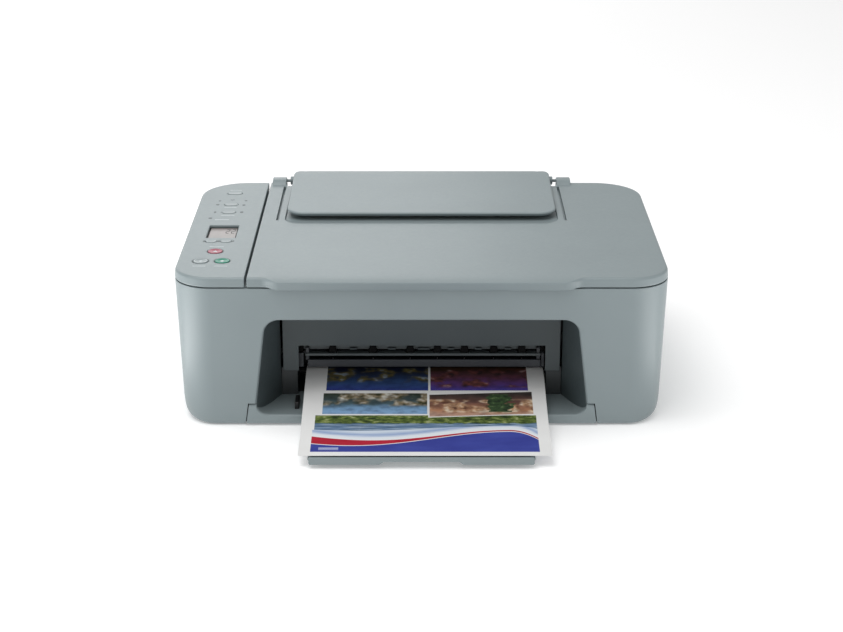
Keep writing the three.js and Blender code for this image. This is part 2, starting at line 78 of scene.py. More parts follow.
def loft(name, rings, close=False, caps=(True, True)):
    """Closed rings with the same number of points, skinned in order."""
    n = len(rings[0])
    verts = [p for r in rings for p in r]
    faces = []
    m = len(rings)
    for k in range(m if close else m - 1):
        a, b = k * n, ((k + 1) % m) * n
        for i in range(n):
            j = (i + 1) % n
            faces.append((a + i, a + j, b + j, b + i))
    if not close:
        if caps[0]:
            faces.append(tuple(range(n - 1, -1, -1)))
        if caps[1]:
            faces.append(tuple((m - 1) * n + i for i in range(n)))
    return obj(name, verts, faces)


def apply_mods(o):
    bpy.context.view_layer.update()
    dg = bpy.context.evaluated_depsgraph_get()
    me = bpy.data.meshes.new_from_object(o.evaluated_get(dg), depsgraph=dg)
    old = o.data
    o.modifiers.clear()
    o.data = me
    bpy.data.meshes.remove(old)
    return o


def boolean(o, op, *others):
    for c in others:
        m = o.modifiers.new("b", "BOOLEAN")
        m.operation = op
        m.solver = "EXACT"
        m.object = c
        apply_mods(o)
        bpy.data.objects.remove(c)
    return o


def cut(o, *c):
    return boolean(o, "DIFFERENCE", *c)


def union(o, *c):
    return boolean(o, "UNION", *c)


def finish_mesh(o, angle=32.0, weighted=True):
    me = o.data
    bm = bmesh.new()
    bm.from_mesh(me)
    bmesh.ops.remove_doubles(bm, verts=bm.verts, dist=1e-6)
    bmesh.ops.dissolve_degenerate(bm, edges=bm.edges, dist=5e-7)
    loose = [v for v in bm.verts if not v.link_faces]
    if loose:
        bmesh.ops.delete(bm, geom=loose, context="VERTS")
    for f in bm.faces:
        f.smooth = True
    bm.to_mesh(me)
    bm.free()
    me.set_sharp_from_angle(angle=math.radians(angle))
    if weighted:
        w = o.modifiers.new("wn", "WEIGHTED_NORMAL")
        w.keep_sharp = True
        w.weight = 60
    return o


def rrect(x0, x1, y0, y1, r, n=6):
    """Rounded rectangle, counter-clockwise; r is one radius or (rear right, rear left, front left, front right)."""
    rs = r if isinstance(r, (tuple, list)) else (r,) * 4
    out = []
    for (sx, sy, a0), q in zip(((1, 1, 0), (-1, 1, 1), (-1, -1, 2), (1, -1, 3)), rs):
        q = max(q, 0.01)
        cx = x1 - q if sx > 0 else x0 + q
        cy = y1 - q if sy > 0 else y0 + q
        for i in range(n + 1):
            a = (a0 + i / n) * PI / 2
            out.append((cx + q * math.cos(a), cy + q * math.sin(a)))
    return out


def rbox(name, x0, x1, y0, y1, z0, z1, r=0.5, axis="z", rc=None, n=4, m=3):
    """Box with rounded corners in plan and rounded rims."""
    rc = max(r if rc is None else rc, r + 0.02)
    rings = []
    if axis == "z":
        lo, hi, a, b = z0, z1, (x0, x1), (y0, y1)
    elif axis == "y":
        lo, hi, a, b = y0, y1, (x0, x1), (z0, z1)
    else:
        lo, hi, a, b = x0, x1, (y0, y1), (z0, z1)

    def ring(h, o):
        pts = rrect(a[0] + o, a[1] - o, b[0] + o, b[1] - o, rc - o, n)
        if axis == "z":
            return [(p, q, h) for p, q in pts]
        if axis == "y":
            return [(p, h, q) for p, q in pts]
        return [(h, p, q) for p, q in pts]
    for i in range(m + 1):
        t = i / m * PI / 2
        rings.append(ring(lo + r * (1 - math.sin(t)), r * (1 - math.cos(t))))
    rings.reverse()
    rings = []
    for i in range(m + 1):
        t = i / m * PI / 2
        rings.append(ring(lo + r - r * math.cos(t), r - r * math.sin(t)))
    for i in range(m + 1):
        t = i / m * PI / 2
        rings.append(ring(hi - r + r * math.sin(t), r - r * math.cos(t)))
    return loft(name, rings)


def slab_x(name, prof, x0, x1, r=0.4, m=3):
    """A closed (y, z) outline swept along x with softened ends."""
    cy = sum(p[0] for p in prof) / len(prof)
    cz = sum(p[1] for p in prof) / len(prof)
    a = sum(prof[i][0] * prof[(i + 1) % len(prof)][1] - prof[(i + 1) % len(prof)][0] * prof[i][1] for i in range(len(prof)))
    s = 1 if a > 0 else -1

    def inset(d):
        n = len(prof)
        out = []
        for i in range(n):
            p0, p1, p2 = Vector(prof[i - 1]), Vector(prof[i]), Vector(prof[(i + 1) % n])
            e1, e2 = (p1 - p0), (p2 - p1)
            e1.normalize(); e2.normalize()
            n1, n2 = Vector((-e1.y, e1.x)) * s, Vector((-e2.y, e2.x)) * s
            b = n1 + n2
            k = b.length
            b = b / k if k > 1e-6 else n1
            c = max(b.dot(n1), 0.5)
            q = p1 + b * (d / c)
            out.append((q.x, q.y))
        return out
    rings = []
    for i in range(m + 1):
        t = i / m * PI / 2
        rings.append([(x0 + r - r * math.sin(t), p, q) for p, q in inset(r - r * math.cos(t))])
    rings.reverse()
    rings = [[(x0 + r - r * math.cos(i / m * PI / 2), p, q) for p, q in inset(r - r * math.sin(i / m * PI / 2))] for i in range(m + 1)]
    rings += [[(x1 - r + r * math.sin(i / m * PI / 2), p, q) for p, q in inset(r - r * math.cos(i / m * PI / 2))] for i in range(m + 1)]
    return loft(name, rings)


def cyl(name, r, lo, hi, c, axis="x", n=32, e=0.4, m=3):
    rings = []

    def ring(h, q):
        out = []
        for i in range(n):
            a = i / n * 2 * PI
            u, v = q * math.cos(a), q * math.sin(a)
            if axis == "x":
                out.append((h, c[0] + u, c[1] + v))
            elif axis == "y":
                out.append((c[0] + u, h, c[1] + v))
            else:
                out.append((c[0] + u, c[1] + v, h))
        return out
    for i in range(m + 1):
        t = i / m * PI / 2
        rings.append(ring(lo + e - e * math.cos(t), r - e + e * math.sin(t)))
    for i in range(m + 1):
        t = i / m * PI / 2
        rings.append(ring(hi - e + e * math.sin(t), r - e + e * math.cos(t)))
    return loft(name, rings)


def join(name, parts):
    """Several shells in one object."""
    bm = bmesh.new()
    for p in parts:
        me = bpy.data.meshes.new_from_object(p)
        bm.from_mesh(me)
        bpy.data.meshes.remove(me)
    me = bpy.data.meshes.new(name)
    bm.to_mesh(me)
    bm.free()
    for p in parts:
        bpy.data.objects.remove(p)
    o = bpy.data.objects.new(name, me)
    bpy.context.scene.collection.objects.link(o)
    return o


def smooth(t):
    t = min(max(t, 0.0), 1.0)
    return t * t * (3 - 2 * t)


def lerp(a, b, t):
    return a + (b - a) * t


# ------------------------------------------------------------------ materials
def new_mat(name):
    m = bpy.data.materials.new(name)
    m.use_nodes = True
    nt = m.node_tree
    return m, nt, nt.nodes["Principled BSDF"]


def plastic(name, color, rough=0.42, var=0.03, grain=2600.0, bump=0.12, spec=0.5, rvar=0.06, blotch=18.0, coat=0.0, metallic=0.0, extra=None):
    """Moulded plastic: faint flow variation in colour, a fine spark-eroded grain and uneven roughness."""
    m, nt, b = new_mat(name)
    N, L = nt.nodes, nt.links
    tc = N.new("ShaderNodeTexCoord")
    big = N.new("ShaderNodeTexNoise"); big.inputs["Scale"].default_value = blotch; big.inputs["Detail"].default_value = 3
    fine = N.new("ShaderNodeTexNoise"); fine.inputs["Scale"].default_value = grain; fine.inputs["Detail"].default_value = 2
    mid = N.new("ShaderNodeTexNoise"); mid.inputs["Scale"].default_value = grain * 0.12; mid.inputs["Detail"].default_value = 3
    for t in (big, fine, mid):
        L.new(tc.outputs["Object"], t.inputs["Vector"])
    ramp = N.new("ShaderNodeValToRGB")
    c0 = [c * (1 - var) for c in color]; c1 = [min(1, c * (1 + var)) for c in color]
    ramp.color_ramp.elements[0].position = 0.3; ramp.color_ramp.elements[1].position = 0.7
    ramp.color_ramp.elements[0].color = (*c0, 1); ramp.color_ramp.elements[1].color = (*c1, 1)
    L.new(big.outputs["Fac"], ramp.inputs["Fac"])
    speck = N.new("ShaderNodeMix"); speck.data_type = "RGBA"; speck.blend_type = "MULTIPLY"
    sr = N.new("ShaderNodeMapRange"); sr.inputs["To Min"].default_value = 1 - var * 0.8; sr.inputs["To Max"].default_value = 1 + var * 0.8
    L.new(fine.outputs["Fac"], sr.inputs["Value"])
    speck.inputs["Factor"].default_value = 1.0
    L.new(ramp.outputs["Color"], speck.inputs[6])
    L.new(sr.outputs["Result"], speck.inputs[7])
    out = speck.outputs[2]
    if extra:
        out = extra(nt, tc, out)
    L.new(out, b.inputs["Base Color"])
    rr = N.new("ShaderNodeMapRange"); rr.inputs["To Min"].default_value = rough - rvar; rr.inputs["To Max"].default_value = rough + rvar
    L.new(mid.outputs["Fac"], rr.inputs["Value"]); L.new(rr.outputs["Result"], b.inputs["Roughness"])
    add = N.new("ShaderNodeMath"); add.operation = "MULTIPLY_ADD"; add.inputs[1].default_value = 0.6
    L.new(fine.outputs["Fac"], add.inputs[0]); L.new(mid.outputs["Fac"], add.inputs[2])
    bp = N.new("ShaderNodeBump"); bp.inputs["Strength"].default_value = bump; bp.inputs["Distance"].default_value = 0.00012
    L.new(add.outputs[0], bp.inputs["Height"]); L.new(bp.outputs["Normal"], b.inputs["Normal"])
    b.inputs["Specular IOR Level"].default_value = spec
    b.inputs["Metallic"].default_value = metallic
    if coat:
        b.inputs["Coat Weight"].default_value = coat
        b.inputs["Coat Roughness"].default_value = 0.25
    return m


def metal(name, color, rough=0.32, stretch=(4, 900, 900), bump=0.08):
    m, nt, b = new_mat(name)
    N, L = nt.nodes, nt.links
    tc = N.new("ShaderNodeTexCoord"); mp = N.new("ShaderNodeMapping"); mp.inputs["Scale"].default_value = stretch
    L.new(tc.outputs["Object"], mp.inputs["Vector"])
    no = N.new("ShaderNodeTexNoise"); no.inputs["Scale"].default_value = 4; no.inputs["Detail"].default_value = 5
    L.new(mp.outputs["Vector"], no.inputs["Vector"])
    cl = N.new("ShaderNodeTexNoise"); cl.inputs["Scale"].default_value = 60; L.new(tc.outputs["Object"], cl.inputs["Vector"])
    ramp = N.new("ShaderNodeValToRGB")
    ramp.color_ramp.elements[0].color = (*[c * 0.86 for c in color], 1); ramp.color_ramp.elements[1].color = (*color, 1)
    L.new(cl.outputs["Fac"], ramp.inputs["Fac"]); L.new(ramp.outputs["Color"], b.inputs["Base Color"])
    rr = N.new("ShaderNodeMapRange"); rr.inputs["To Min"].default_value = rough - 0.07; rr.inputs["To Max"].default_value = rough + 0.09
    L.new(no.outputs["Fac"], rr.inputs["Value"]); L.new(rr.outputs["Result"], b.inputs["Roughness"])
    bp = N.new("ShaderNodeBump"); bp.inputs["Strength"].default_value = bump; bp.inputs["Distance"].default_value = 0.0001
    L.new(no.outputs["Fac"], bp.inputs["Height"]); L.new(bp.outputs["Normal"], b.inputs["Normal"])
    b.inputs["Metallic"].default_value = 1.0
    return m


SAGE = (0.234, 0.281, 0.292)
M = {}
M["sage"] = plastic("sage_plastic", SAGE, rough=0.42, var=0.02, spec=0.5, coat=0.06)
# Painted shade: the sage plastic darkened to about a quarter stands in for the shade inside the output bay. It is used
# on the bay walls, the access cover, the tray housing and the star-wheel clips.
M["sage_painted_shade"] = plastic("sage_painted_shade_plastic", (0.060, 0.078, 0.083), rough=0.42, var=0.03)
M["bar"] = plastic("bar_plastic", (0.046, 0.052, 0.060), rough=0.42, var=0.03)
M["strip"] = plastic("strip_plastic", (0.090, 0.108, 0.112), rough=0.42, var=0.03)
M["pod"] = plastic("pod_plastic", (0.0028, 0.003, 0.0034), rough=0.55, var=0.1, spec=0.12)
M["dark"] = plastic("dark_plastic", (0.030, 0.036, 0.038), rough=0.40, var=0.05)
M["black"] = plastic("black_plastic", (0.006, 0.0065, 0.007), rough=0.38, var=0.1, bump=0.03)
M["rubber"] = plastic("black_rubber", (0.012, 0.012, 0.012), rough=0.78, var=0.1, bump=0.35)
M["white"] = plastic("white_plastic", (0.78, 0.78, 0.75), rough=0.45)
M["foam"] = plastic("white_foam", (0.80, 0.80, 0.77), rough=0.9, grain=1500, bump=0.5, spec=0.2)
M["board"] = plastic("circuit_board", (0.02, 0.12, 0.05), rough=0.35, var=0.15, blotch=120)
M["steel"] = metal("zinc_steel", (0.62, 0.63, 0.64))
M["key"] = plastic("key_plastic", (0.285, 0.330, 0.340), rough=0.36, var=0.02)
M["ring"] = plastic("pale_print", (0.55, 0.60, 0.61), rough=0.5, var=0.02)
M["label"] = plastic("grey_print", (0.105, 0.125, 0.130), rough=0.5, var=0.02)
M["red"] = plastic("red_key", (0.36, 0.085, 0.125), rough=0.36, var=0.04, coat=0.1)
M["green"] = plastic("green_key", (0.014, 0.23, 0.15), rough=0.36, var=0.04, coat=0.1)


def glass_mat():
    m, nt, b = new_mat("clear_glass")
    N, L = nt.nodes, nt.links
    tc = N.new("ShaderNodeTexCoord"); no = N.new("ShaderNodeTexNoise"); no.inputs["Scale"].default_value = 25
    L.new(tc.outputs["Object"], no.inputs["Vector"])
    rr = N.new("ShaderNodeMapRange"); rr.inputs["To Min"].default_value = 0.02; rr.inputs["To Max"].default_value = 0.06
    L.new(no.outputs["Fac"], rr.inputs["Value"]); L.new(rr.outputs["Result"], b.inputs["Roughness"])
    ramp = N.new("ShaderNodeValToRGB"); ramp.color_ramp.elements[0].color = (0.86, 0.93, 0.90, 1); ramp.color_ramp.elements[1].color = (0.92, 0.97, 0.95, 1)
    L.new(no.outputs["Fac"], ramp.inputs["Fac"]); L.new(ramp.outputs["Color"], b.inputs["Base Color"])
    b.inputs["Transmission Weight"].default_value = 1.0
    b.inputs["IOR"].default_value = 1.5
    return m


M["glass"] = glass_mat()


def lcd_mat():
    m, nt, b = new_mat("display_film")
    N, L = nt.nodes, nt.links
    tc = N.new("ShaderNodeTexCoord"); no = N.new("ShaderNodeTexNoise"); no.inputs["Scale"].default_value = 70; no.inputs["Detail"].default_value = 2
    L.new(tc.outputs["Object"], no.inputs["Vector"])
    ramp = N.new("ShaderNodeValToRGB")
    ramp.color_ramp.elements[0].position = 0.3; ramp.color_ramp.elements[1].position = 0.7
    ramp.color_ramp.elements[0].color = (0.235, 0.222, 0.212, 1); ramp.color_ramp.elements[1].color = (0.290, 0.252, 0.246, 1)
    L.new(no.outputs["Fac"], ramp.inputs["Fac"]); L.new(ramp.outputs["Color"], b.inputs["Base Color"])
    px = N.new("ShaderNodeTexNoise"); px.inputs["Scale"].default_value = 5200; L.new(tc.outputs["Object"], px.inputs["Vector"])
    rr = N.new("ShaderNodeMapRange"); rr.inputs["To Min"].default_value = 0.28; rr.inputs["To Max"].default_value = 0.42
    L.new(px.outputs["Fac"], rr.inputs["Value"]); L.new(rr.outputs["Result"], b.inputs["Roughness"])
    b.inputs["Coat Weight"].default_value = 0.12
    b.inputs["Coat Roughness"].default_value = 0.12
    return m


M["lcd"] = lcd_mat()


def dress(o, mat, body, replaces=()):
    o.data.materials.clear()
    o.data.materials.append(M[mat])
    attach(o, body)
    if replaces:
        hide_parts(*replaces)
    return o


def coat_node(mat, *names):
    for n in names:
        o = NODES[n]
        o.data.materials.clear()
        o.data.materials.append(M[mat])


# ------------------------------------------------------------------ plan outline of the case
HW, DEPTH, RF, RR = 217.5, 300.0, 35.0, 45.0
SEAM, TOP = 131.05, 139.5
N_C = 20


def ring_plan(z, ix, iyf, iyr, x0=-HW, x1=HW, il=None, ir=None, rl=(RR, RF), rr=(RR, RF), xs=()):
    """Plan ring at height z. rl, rr: rear and front radii at the left and right."""
    il = ix if il is None else il
    ir = ix if ir is None else ir
    out = []

    def arc(x, sx, i_x, y, sy, i_y, R, a0):
        rx, ry = max(R - i_x, 0.25), max(R - i_y, 0.25)
        cx, cy = x - sx * (rx + i_x), y - sy * (ry + i_y)
        for i in range(N_C + 1):
            a = (a0 + i / N_C) * PI / 2
            out.append((cx + rx * math.cos(a), cy + ry * math.sin(a), z))
    arc(x1, 1, ir, DEPTH, 1, iyr, rr[0], 0)
    arc(x0, -1, il, DEPTH, 1, iyr, rl[0], 1)
    arc(x0, -1, il, 0, -1, iyf, rl[1], 2)
    for x in xs:
        out.append((x, iyf, z))
    arc(x1, 1, ir, 0, -1, iyf, rr[1], 3)
    return out


# ------------------------------------------------------------------ main case
def side_inset(z):
    pts = [(1.0, 13.2, 5.9, 5.9), (1.4, 11.2, 4.9, 4.9), (2.3, 9.2, 4.0, 4.0), (3.6, 7.6, 3.3, 3.3), (5.5, 6.2, 2.8, 2.8), (8.0, 5.2, 2.45, 2.45), (11.5, 4.4, 2.2, 2.2), (16, 3.85, 2.05, 2.05), (20.0, 3.6, 2.0, 2.0), (130.0, 0, 0, 0)]
    return pts


def front_y(z):
    return 2.0 * (130.0 - z) / 110.0 if z > 20 else 2.0


shell = [ring_plan(z, a, b, c) for z, a, b, c in side_inset(0)[:-1]]
shell += [ring_plan(129.3, 0.03, 0.03, 0.03), ring_plan(129.7, 0.14, 0.14, 0.14), ring_plan(129.9, 0.45, 0.45, 0.45), ring_plan(129.9, 2.2, 2.2, 2.2)]
shell += [ring_plan(20, 5.8, 4.2, 4.2), ring_plan(8, 7.4, 4.7, 4.7), ring_plan(2.4, 12.3, 6.6, 6.6), ring_plan(1.0, 15.2, 7.4, 7.4)]
case = loft("case_shell", shell, close=True)


def bay(y, off=0.0, zb=14.0, n=12):
    t = (y - 1.0) / 50.0
    t = max(t, 0.0)
    hb, ht, zt, r = lerp(146.9, 127.0, t), lerp(136.8, 127.0, t), lerp(100.4, 104.0, t), max(lerp(14.0, 1.5, t), 1.0)
    hb += off; ht += off; zt += off; r += off
    # the side is a straight line from (hb, 21) to (ht, zt)
    slope = (hb - ht) / (zt - 21.0)
    low = [(-hb - slope * (21 - zb), zb), (hb + slope * (21 - zb), zb)]
    out = list(low)
    ang = math.atan(slope)
    # corner arc tangent to the slanted side and the flat top
    half = (PI / 2 + ang) / 2
    d = r / math.tan(PI / 2 - half) if False else r * math.tan((PI / 2 - ang) / 2)
    for s in (1, -1):
        arc = []
        cx, cz = ht - d, zt - r
        for i in range(n + 1):
            a = ang + (PI / 2 - ang) * i / n
            arc.append((s * (cx + r * math.cos(a)), cz + r * math.sin(a)))
        out += arc if s > 0 else arc[::-1]
    return out


def bay_ring(y, off, zb=14.0, follow=True):
    return [(x, y + (front_y(z) if follow else 0.0), z) for x, z in bay(y, off, zb)]


R_MOUTH = 1.7
mouth = [bay_ring(-4.0, R_MOUTH + 1.2), bay_ring(-0.05, R_MOUTH + 0.3)]
for i in range(1, 9):
    a = i / 8 * PI / 2
    mouth.append(bay_ring(R_MOUTH * (1 - math.cos(a)), R_MOUTH * (1 - math.sin(a))))
mouth.append(bay_ring(20.0, 0.0))
cutter = loft("c", mouth)
lip_gap = 0.85


def sill_half(z, g=0.0):
    return 153.1 + (20.6 - z) * 0.145 + g


lipc = loft("c", [[(-sill_half(z, lip_gap), -6, z), (sill_half(z, lip_gap), -6, z), (sill_half(z, lip_gap), 40, z), (-sill_half(z, lip_gap), 40, z)] for z in (-1.0, 19.4, 20.6 + lip_gap)])
cut(case, cutter, lipc,
    rbox("c", 139.6, 164.4, 288, 306, 21.6, 38.4, 0.3, "y", rc=2.2), rbox("c", -150.4, -135.6, 288, 306, 19.6, 32.4, 0.3, "y", rc=1.6),
    rbox("c", -136, 136, 285, 312, 124, 136, 0.3, "z", rc=1.5))
finish_mesh(case)
dress(case, "sage", "casing", ["main_case"])

# Bay liner: drafted walls behind the opening, coloured with painted shade: the darkened copy of the sage plastic stands
# in for the shade inside the bay.
def arch_order(y, off):
    pts = bay(y, off, 9.0)
    right, left = pts[2:15], pts[15:]
    right = sorted(right, key=lambda q: (q[0], -q[1]))
    left = sorted(left, key=lambda q: (q[0], q[1]))
    return [(x, y, z) for x, z in [pts[0]] + left + right + [pts[1]]]


liner = loft("bay_liner", [arch_order(y, 0.25) + arch_order(y, 1.9)[::-1] for y in (3.6, 8, 14, 22, 30, 38, 45, 51)])
finish_mesh(liner)
dress(liner, "sage_painted_shade", "casing")

# ------------------------------------------------------------------ base: sill with dished landing, and floor pan
def dish_z(x):
    a = abs(x)
    if a <= 134.9:
        return 10.4
    if a >= 146.6:
        return 20.6
    t = (a - 134.9) / 11.7
    return 10.4 + 10.2 * (1 - math.sqrt(max(0.0, 1 - t * t))) if t < 1 else 20.6


xs = [-153.1, -152.7, -147.6]
xs += [-134.9 - 11.7 * math.sin((1 - i / 14) * PI / 2) for i in range(15)]
xs += [-100, -60, -20, 20, 60, 100]
xs += [134.9 + 11.7 * math.sin(i / 14 * PI / 2) for i in range(15)]
xs += [147.6, 152.7, 153.1]
rows = []
RN = 2.6
fy = 2.3
prof = [(fy + 1.2, 2.0), (fy + 0.35, 2.35), (fy, 3.2)]
for x in xs:
    h = dish_z(x)
    if abs(x) > 153:
        h -= 0.4
    col = [(p, q) for p, q in prof]
    for i in range(7):
        a = i / 6 * PI / 2
        col.append((fy + RN * (1 - math.cos(a)), h - RN * (1 - math.sin(a))))
    col += [(20, h), (58, h)]
    rows.append([(math.copysign(min(abs(x), sill_half(z)) + (sill_half(z) - 153.1 if abs(x) > 150 else 0), x), y, z) for y, z in col])
nr = len(rows[0])
verts = [p for r in rows for p in r]
faces = []
for i in range(len(rows) - 1):
    for j in range(nr - 1):
        faces.append((i * nr + j, (i + 1) * nr + j, (i + 1) * nr + j + 1, i * nr + j + 1))
nb = len(verts)
for r in rows:  # closing underside
    verts.append((r[0][0], 58, 2.0))
for i in range(len(rows) - 1):
    faces.append((i * nr, nb + i, nb + i + 1, (i + 1) * nr))
    faces.append((nb + i, i * nr + nr - 1, (i + 1) * nr + nr - 1, nb + i + 1))
faces.append(tuple([j for j in range(nr)] + [nb]))
k = (len(rows) - 1) * nr
faces.append(tuple([k + j for j in range(nr)][::-1] + [nb + len(rows) - 1])[::1])
sill = obj("base_sill", verts, faces)
cut(sill, rbox("c", -104.8, 104.8, -8, 70, 3.9, 8.5, 0.3, "y", rc=1.2))
finish_mesh(sill)
dress(sill, "sage", "casing", ["base_case"])

pan = loft("base_pan", [ring_plan(z, a, b, b) for z, a, b in ((2.0, 14.4, 8.4), (2.0, 13.4, 7.8), (2.3, 13.0, 7.4), (4.8, 10.1, 6.3), (5.0, 10.4, 6.6), (5.0, 14, 10))])
cut(pan, rbox("c", -170, -150, 60, 235, 0, 3.0, 0.3, "z", rc=4), rbox("c", 150, 170, 60, 235, 0, 3.0, 0.3, "z", rc=4),
    rbox("c", -104.8, 104.8, -8, 126, 0.5, 8.5, 0.3, "z", rc=2),
    *[rbox("c", -90 + i * 24, -74 + i * 24, 180, 270, 0, 2.8, 0.2, "z", rc=3) for i in range(8)])
finish_mesh(pan)
dress(pan, "dark", "casing")
tray_roof = rbox("tray_housing", -104, 104, 56, 128, 8.9, 10.2, 0.4, "z", rc=2)
finish_mesh(tray_roof)
# The tray housing is sage with painted shade, using the darkened copy of the sage plastic.
dress(tray_roof, "sage_painted_shade", "casing")

# ------------------------------------------------------------------ top shells
def top_shell(name, x0, x1, left_seam, ceiling, lip=None):
    """Lid-like shell: draft, 3.6 mm edge fillet, hollow underneath. left_seam: True where the left edge is the seam."""
    RO = 2.6
    prof = []  # z, outer inset, seam inset
    prof.append((ceiling, 3.2, 3.0, None))
    prof.append((SEAM + 1.0, 2.4, 2.2, None))
    prof.append((SEAM, 2.0, 1.8, (-1.0, 131.3)))
    prof.append((SEAM, 0.75, 0.6, (-1.8, 129.75)))
    prof.append((SEAM + 0.12, 0.35, 0.25, (-3.4, 129.6)))
    prof.append((SEAM + 0.5, 0.08, 0.08, (-4.3, 129.95)))
    prof.append((SEAM + 1.0, 0.0, 0.0, (-4.9, 130.9)))
    zf = TOP - RO
    prof.append((lerp(SEAM + 1, zf, 0.5), 0.2, 0.0, (-6.1, 134.0)))
    prof.append((zf, 0.4, 0.0, (-7.28, 137.2)))
    for i in range(1, 9):
        a = i / 8 * PI / 2
        rs = 0.9
        prof.append((zf + RO * math.sin(a), 0.4 + RO * (1 - math.cos(a)), 0.0 if a < PI / 2 * 0.6 else rs * ((a / (PI / 2) - 0.6) / 0.4) ** 2,
                     (-7.28 + 1.0 * (1 - math.cos(a)), 137.2 + 1.05 * math.sin(a) + 0.05 * (1 - math.cos(a)))))
    prof.append((TOP, 7.0, 2.5, (-1.0, 139.05)))
    prof.append((TOP, 12.0, 3.5, (8.0, 139.4)))
    prof.append((TOP, 24.0, 5.0, (24.0, TOP)))
    xl = ()
    if lip:
        a0, a1, b0, b1 = lip
        xl = [a0 + (a1 - a0) * i / 14 for i in range(15)] + [lerp(a1, b0, i / 12) for i in range(1, 12)] + [b0 + (b1 - b0) * i / 14 for i in range(15)]

    def s(x):
        if not lip:
            return 0.0
        return smooth((x - a0) / (a1 - a0)) if x < 0 else smooth((b1 - x) / (b1 - b0))
    rings = []
    for z, io, isn, L in prof:
        kw = dict(x0=x0, x1=x1, xs=xl)
        if left_seam:
            ring = ring_plan(z, io, io, io, il=isn, ir=io, rl=(0.9, 0.9), rr=(RR, RF), **kw)
        else:
            ring = ring_plan(z, io, io, io, il=io, ir=isn, rl=(RR, RF), rr=(0.9, 0.9), **kw)
        if lip and L:
            out = []
            for x, y, zz in ring:
                k = s(x) if (y < io + 1e-6 and a0 < x < b1) else 0.0
                if k > 0:
                    # the edge first comes forward, then drops over the case
                    kz = smooth((k - 0.15) / 0.85) if L[1] < SEAM + 0.4 else k
                    y, zz = lerp(y, L[0], k), lerp(zz, L[1], kz)
                out.append((x, y, zz))
            ring = out
        rings.append(ring)
    return loft(name, rings)


panel = top_shell("control_panel", -HW, -153.75, False, 137.2)
lcd_win = [[(x, y, z) for x, y in rrect(-198.6 - o, -171.4 + o, 115.4 - o, 154.2 + o, 1.3 + o, 5)] for z, o in ((130, 0), (138.7, 0), (139.2, 0.18), (139.5, 0.6), (142, 0.6))]
panel_cuts = [loft("c", lcd_win)]
ROUND = {"stop_button": (-186.0, 75.5, 7.0), "mono_start_button": (-196.2, 47.6, 7.0), "color_start_button": (-177.0, 48.1, 7.0)}
OVAL = {"power_button": (-184.8, 259.7, 7, 4.2), "wireless_button": (-185.0, 221.5, 6.5, 4.2), "info_button": (-185.1, 195.9, 6.5, 4.2),
        "select_button_left": (-192.6, 104.9, 5.0, 3.8), "select_button_right": (-179.2, 104.9, 5.0, 3.8)}
for x, y, r in ROUND.values():
    panel_cuts.append(loft("c", [[(x + (r + o) * math.cos(i / 40 * 2 * PI), y + (r + o) * math.sin(i / 40 * 2 * PI), z) for i in range(40)] for z, o in ((130, 0), (138.9, 0), (139.3, 0.12), (139.5, 0.42), (142, 0.42))]))
for x, y, a, b in OVAL.values():
    panel_cuts.append(loft("c", [[(p, q, z) for p, q in rrect(x - a - 0.4 - o, x + a + 0.4 + o, y - b - 0.4 - o, y + b + 0.4 + o, b + 0.38 + o, 8)] for z, o in ((130, 0), (138.9, 0), (139.3, 0.12), (139.5, 0.42), (142, 0.42))]))
cut(panel, *panel_cuts)
finish_mesh(panel)
dress(panel, "sage", "casing", ["operation_panel"])

cover = top_shell("cover_shell", -151.55, HW, True, 134.8, lip=(-139.0, -123.5, 124.5, 141.5))


def ease(t):
    return t * t * t * (t * (6 * t - 15) + 10)


rec_rings = [[(x, y, 142.0) for x, y in rrect(-130.0, 130.0, 155.0, 290, (4, 4, 18, 18), 10)]]
for i in range(0, 15):
    t = i / 14
    z = TOP + 0.02 - 2.5 * ease(t)
    y0, hx = lerp(155.0, 176.5, t), lerp(130.0, 129.3, t)
    rec_rings.append([(x, y, z) for x, y in rrect(-hx, hx, y0, 288, (4, 4, lerp(18, 10, t), lerp(18, 10, t)), 10)])
cut(cover, loft("c", rec_rings),
    rbox("c", -122, 122, 262, 330, 100, 160, 0.3, "z", rc=3),
    rbox("c", -135.3, 135.3, 286, 330, 100, 160, 0.3, "z", rc=1.2))
for s in (-1, 1):
    a, b = sorted((s * 135.45, s * 137.8))
    cut(cover, loft("c", [[(x, y, z) for x, y in rrect(a - o, b + o, 170 - o, 284.6 + o, 1.0 + o, 4)] for z, o in ((135.4, 0), (139.0, 0), (139.35, 0.12), (139.5, 0.4), (142, 0.4))]))
ears = []
for s in (-1, 1):
    a, b = sorted((s * 136.0, s * 149.8))
    ear = slab_x("e", [(289, 133.5), (300, 131.3), (303.2, 132.6), (304.8, 135.2), (306.6, 136.2), (307.0, 139.2), (306.4, 141.8), (304.6, 143.4), (300, 143.75), (294.5, 143.5), (291, 142.3), (288.0, 139.4), (287, 136)], a, b, 0.7, 4)
    x0, x1 = sorted((s * 139.4, s * 146.4))
    cut(ear, rbox("c", x0, x1, 294.6, 320, 120, 141.2, 0.3, "z", rc=0.6))
    x0, x1 = sorted((s * 139.4, s * 146.4))
    cut(cover, rbox("c", x0, x1, 294.6, 320, 120, 141.2, 0.3, "z", rc=0.6))
    ears.append(ear)
union(cover, *ears)
finish_mesh(cover)
dress(cover, "sage", "cover", ["document_cover"])

# ------------------------------------------------------------------ paper support
def sup_top(y):
    pts = [(176, 145.0), (208, 145.8), (240, 146.6), (270, 147.7), (290, 148.35), (300, 148.75), (306, 148.75), (310, 148.2), (313, 147.0), (315, 145.2), (316, 143.2)]
    for (a, p), (b, q) in zip(pts, pts[1:]):
        if y <= b:
            return lerp(p, q, (y - a) / (b - a))
    return pts[-1][1]


def sup_bot(y):
    pts = [(176, 141.2), (240, 142.8), (285, 144.4), (300, 143.9), (305, 143.2), (312, 140.4), (316, 140.4)]
    for (a, p), (b, q) in zip(pts, pts[1:]):
        if y <= b:
            return lerp(p, q, (y - a) / (b - a))
    return pts[-1][1]


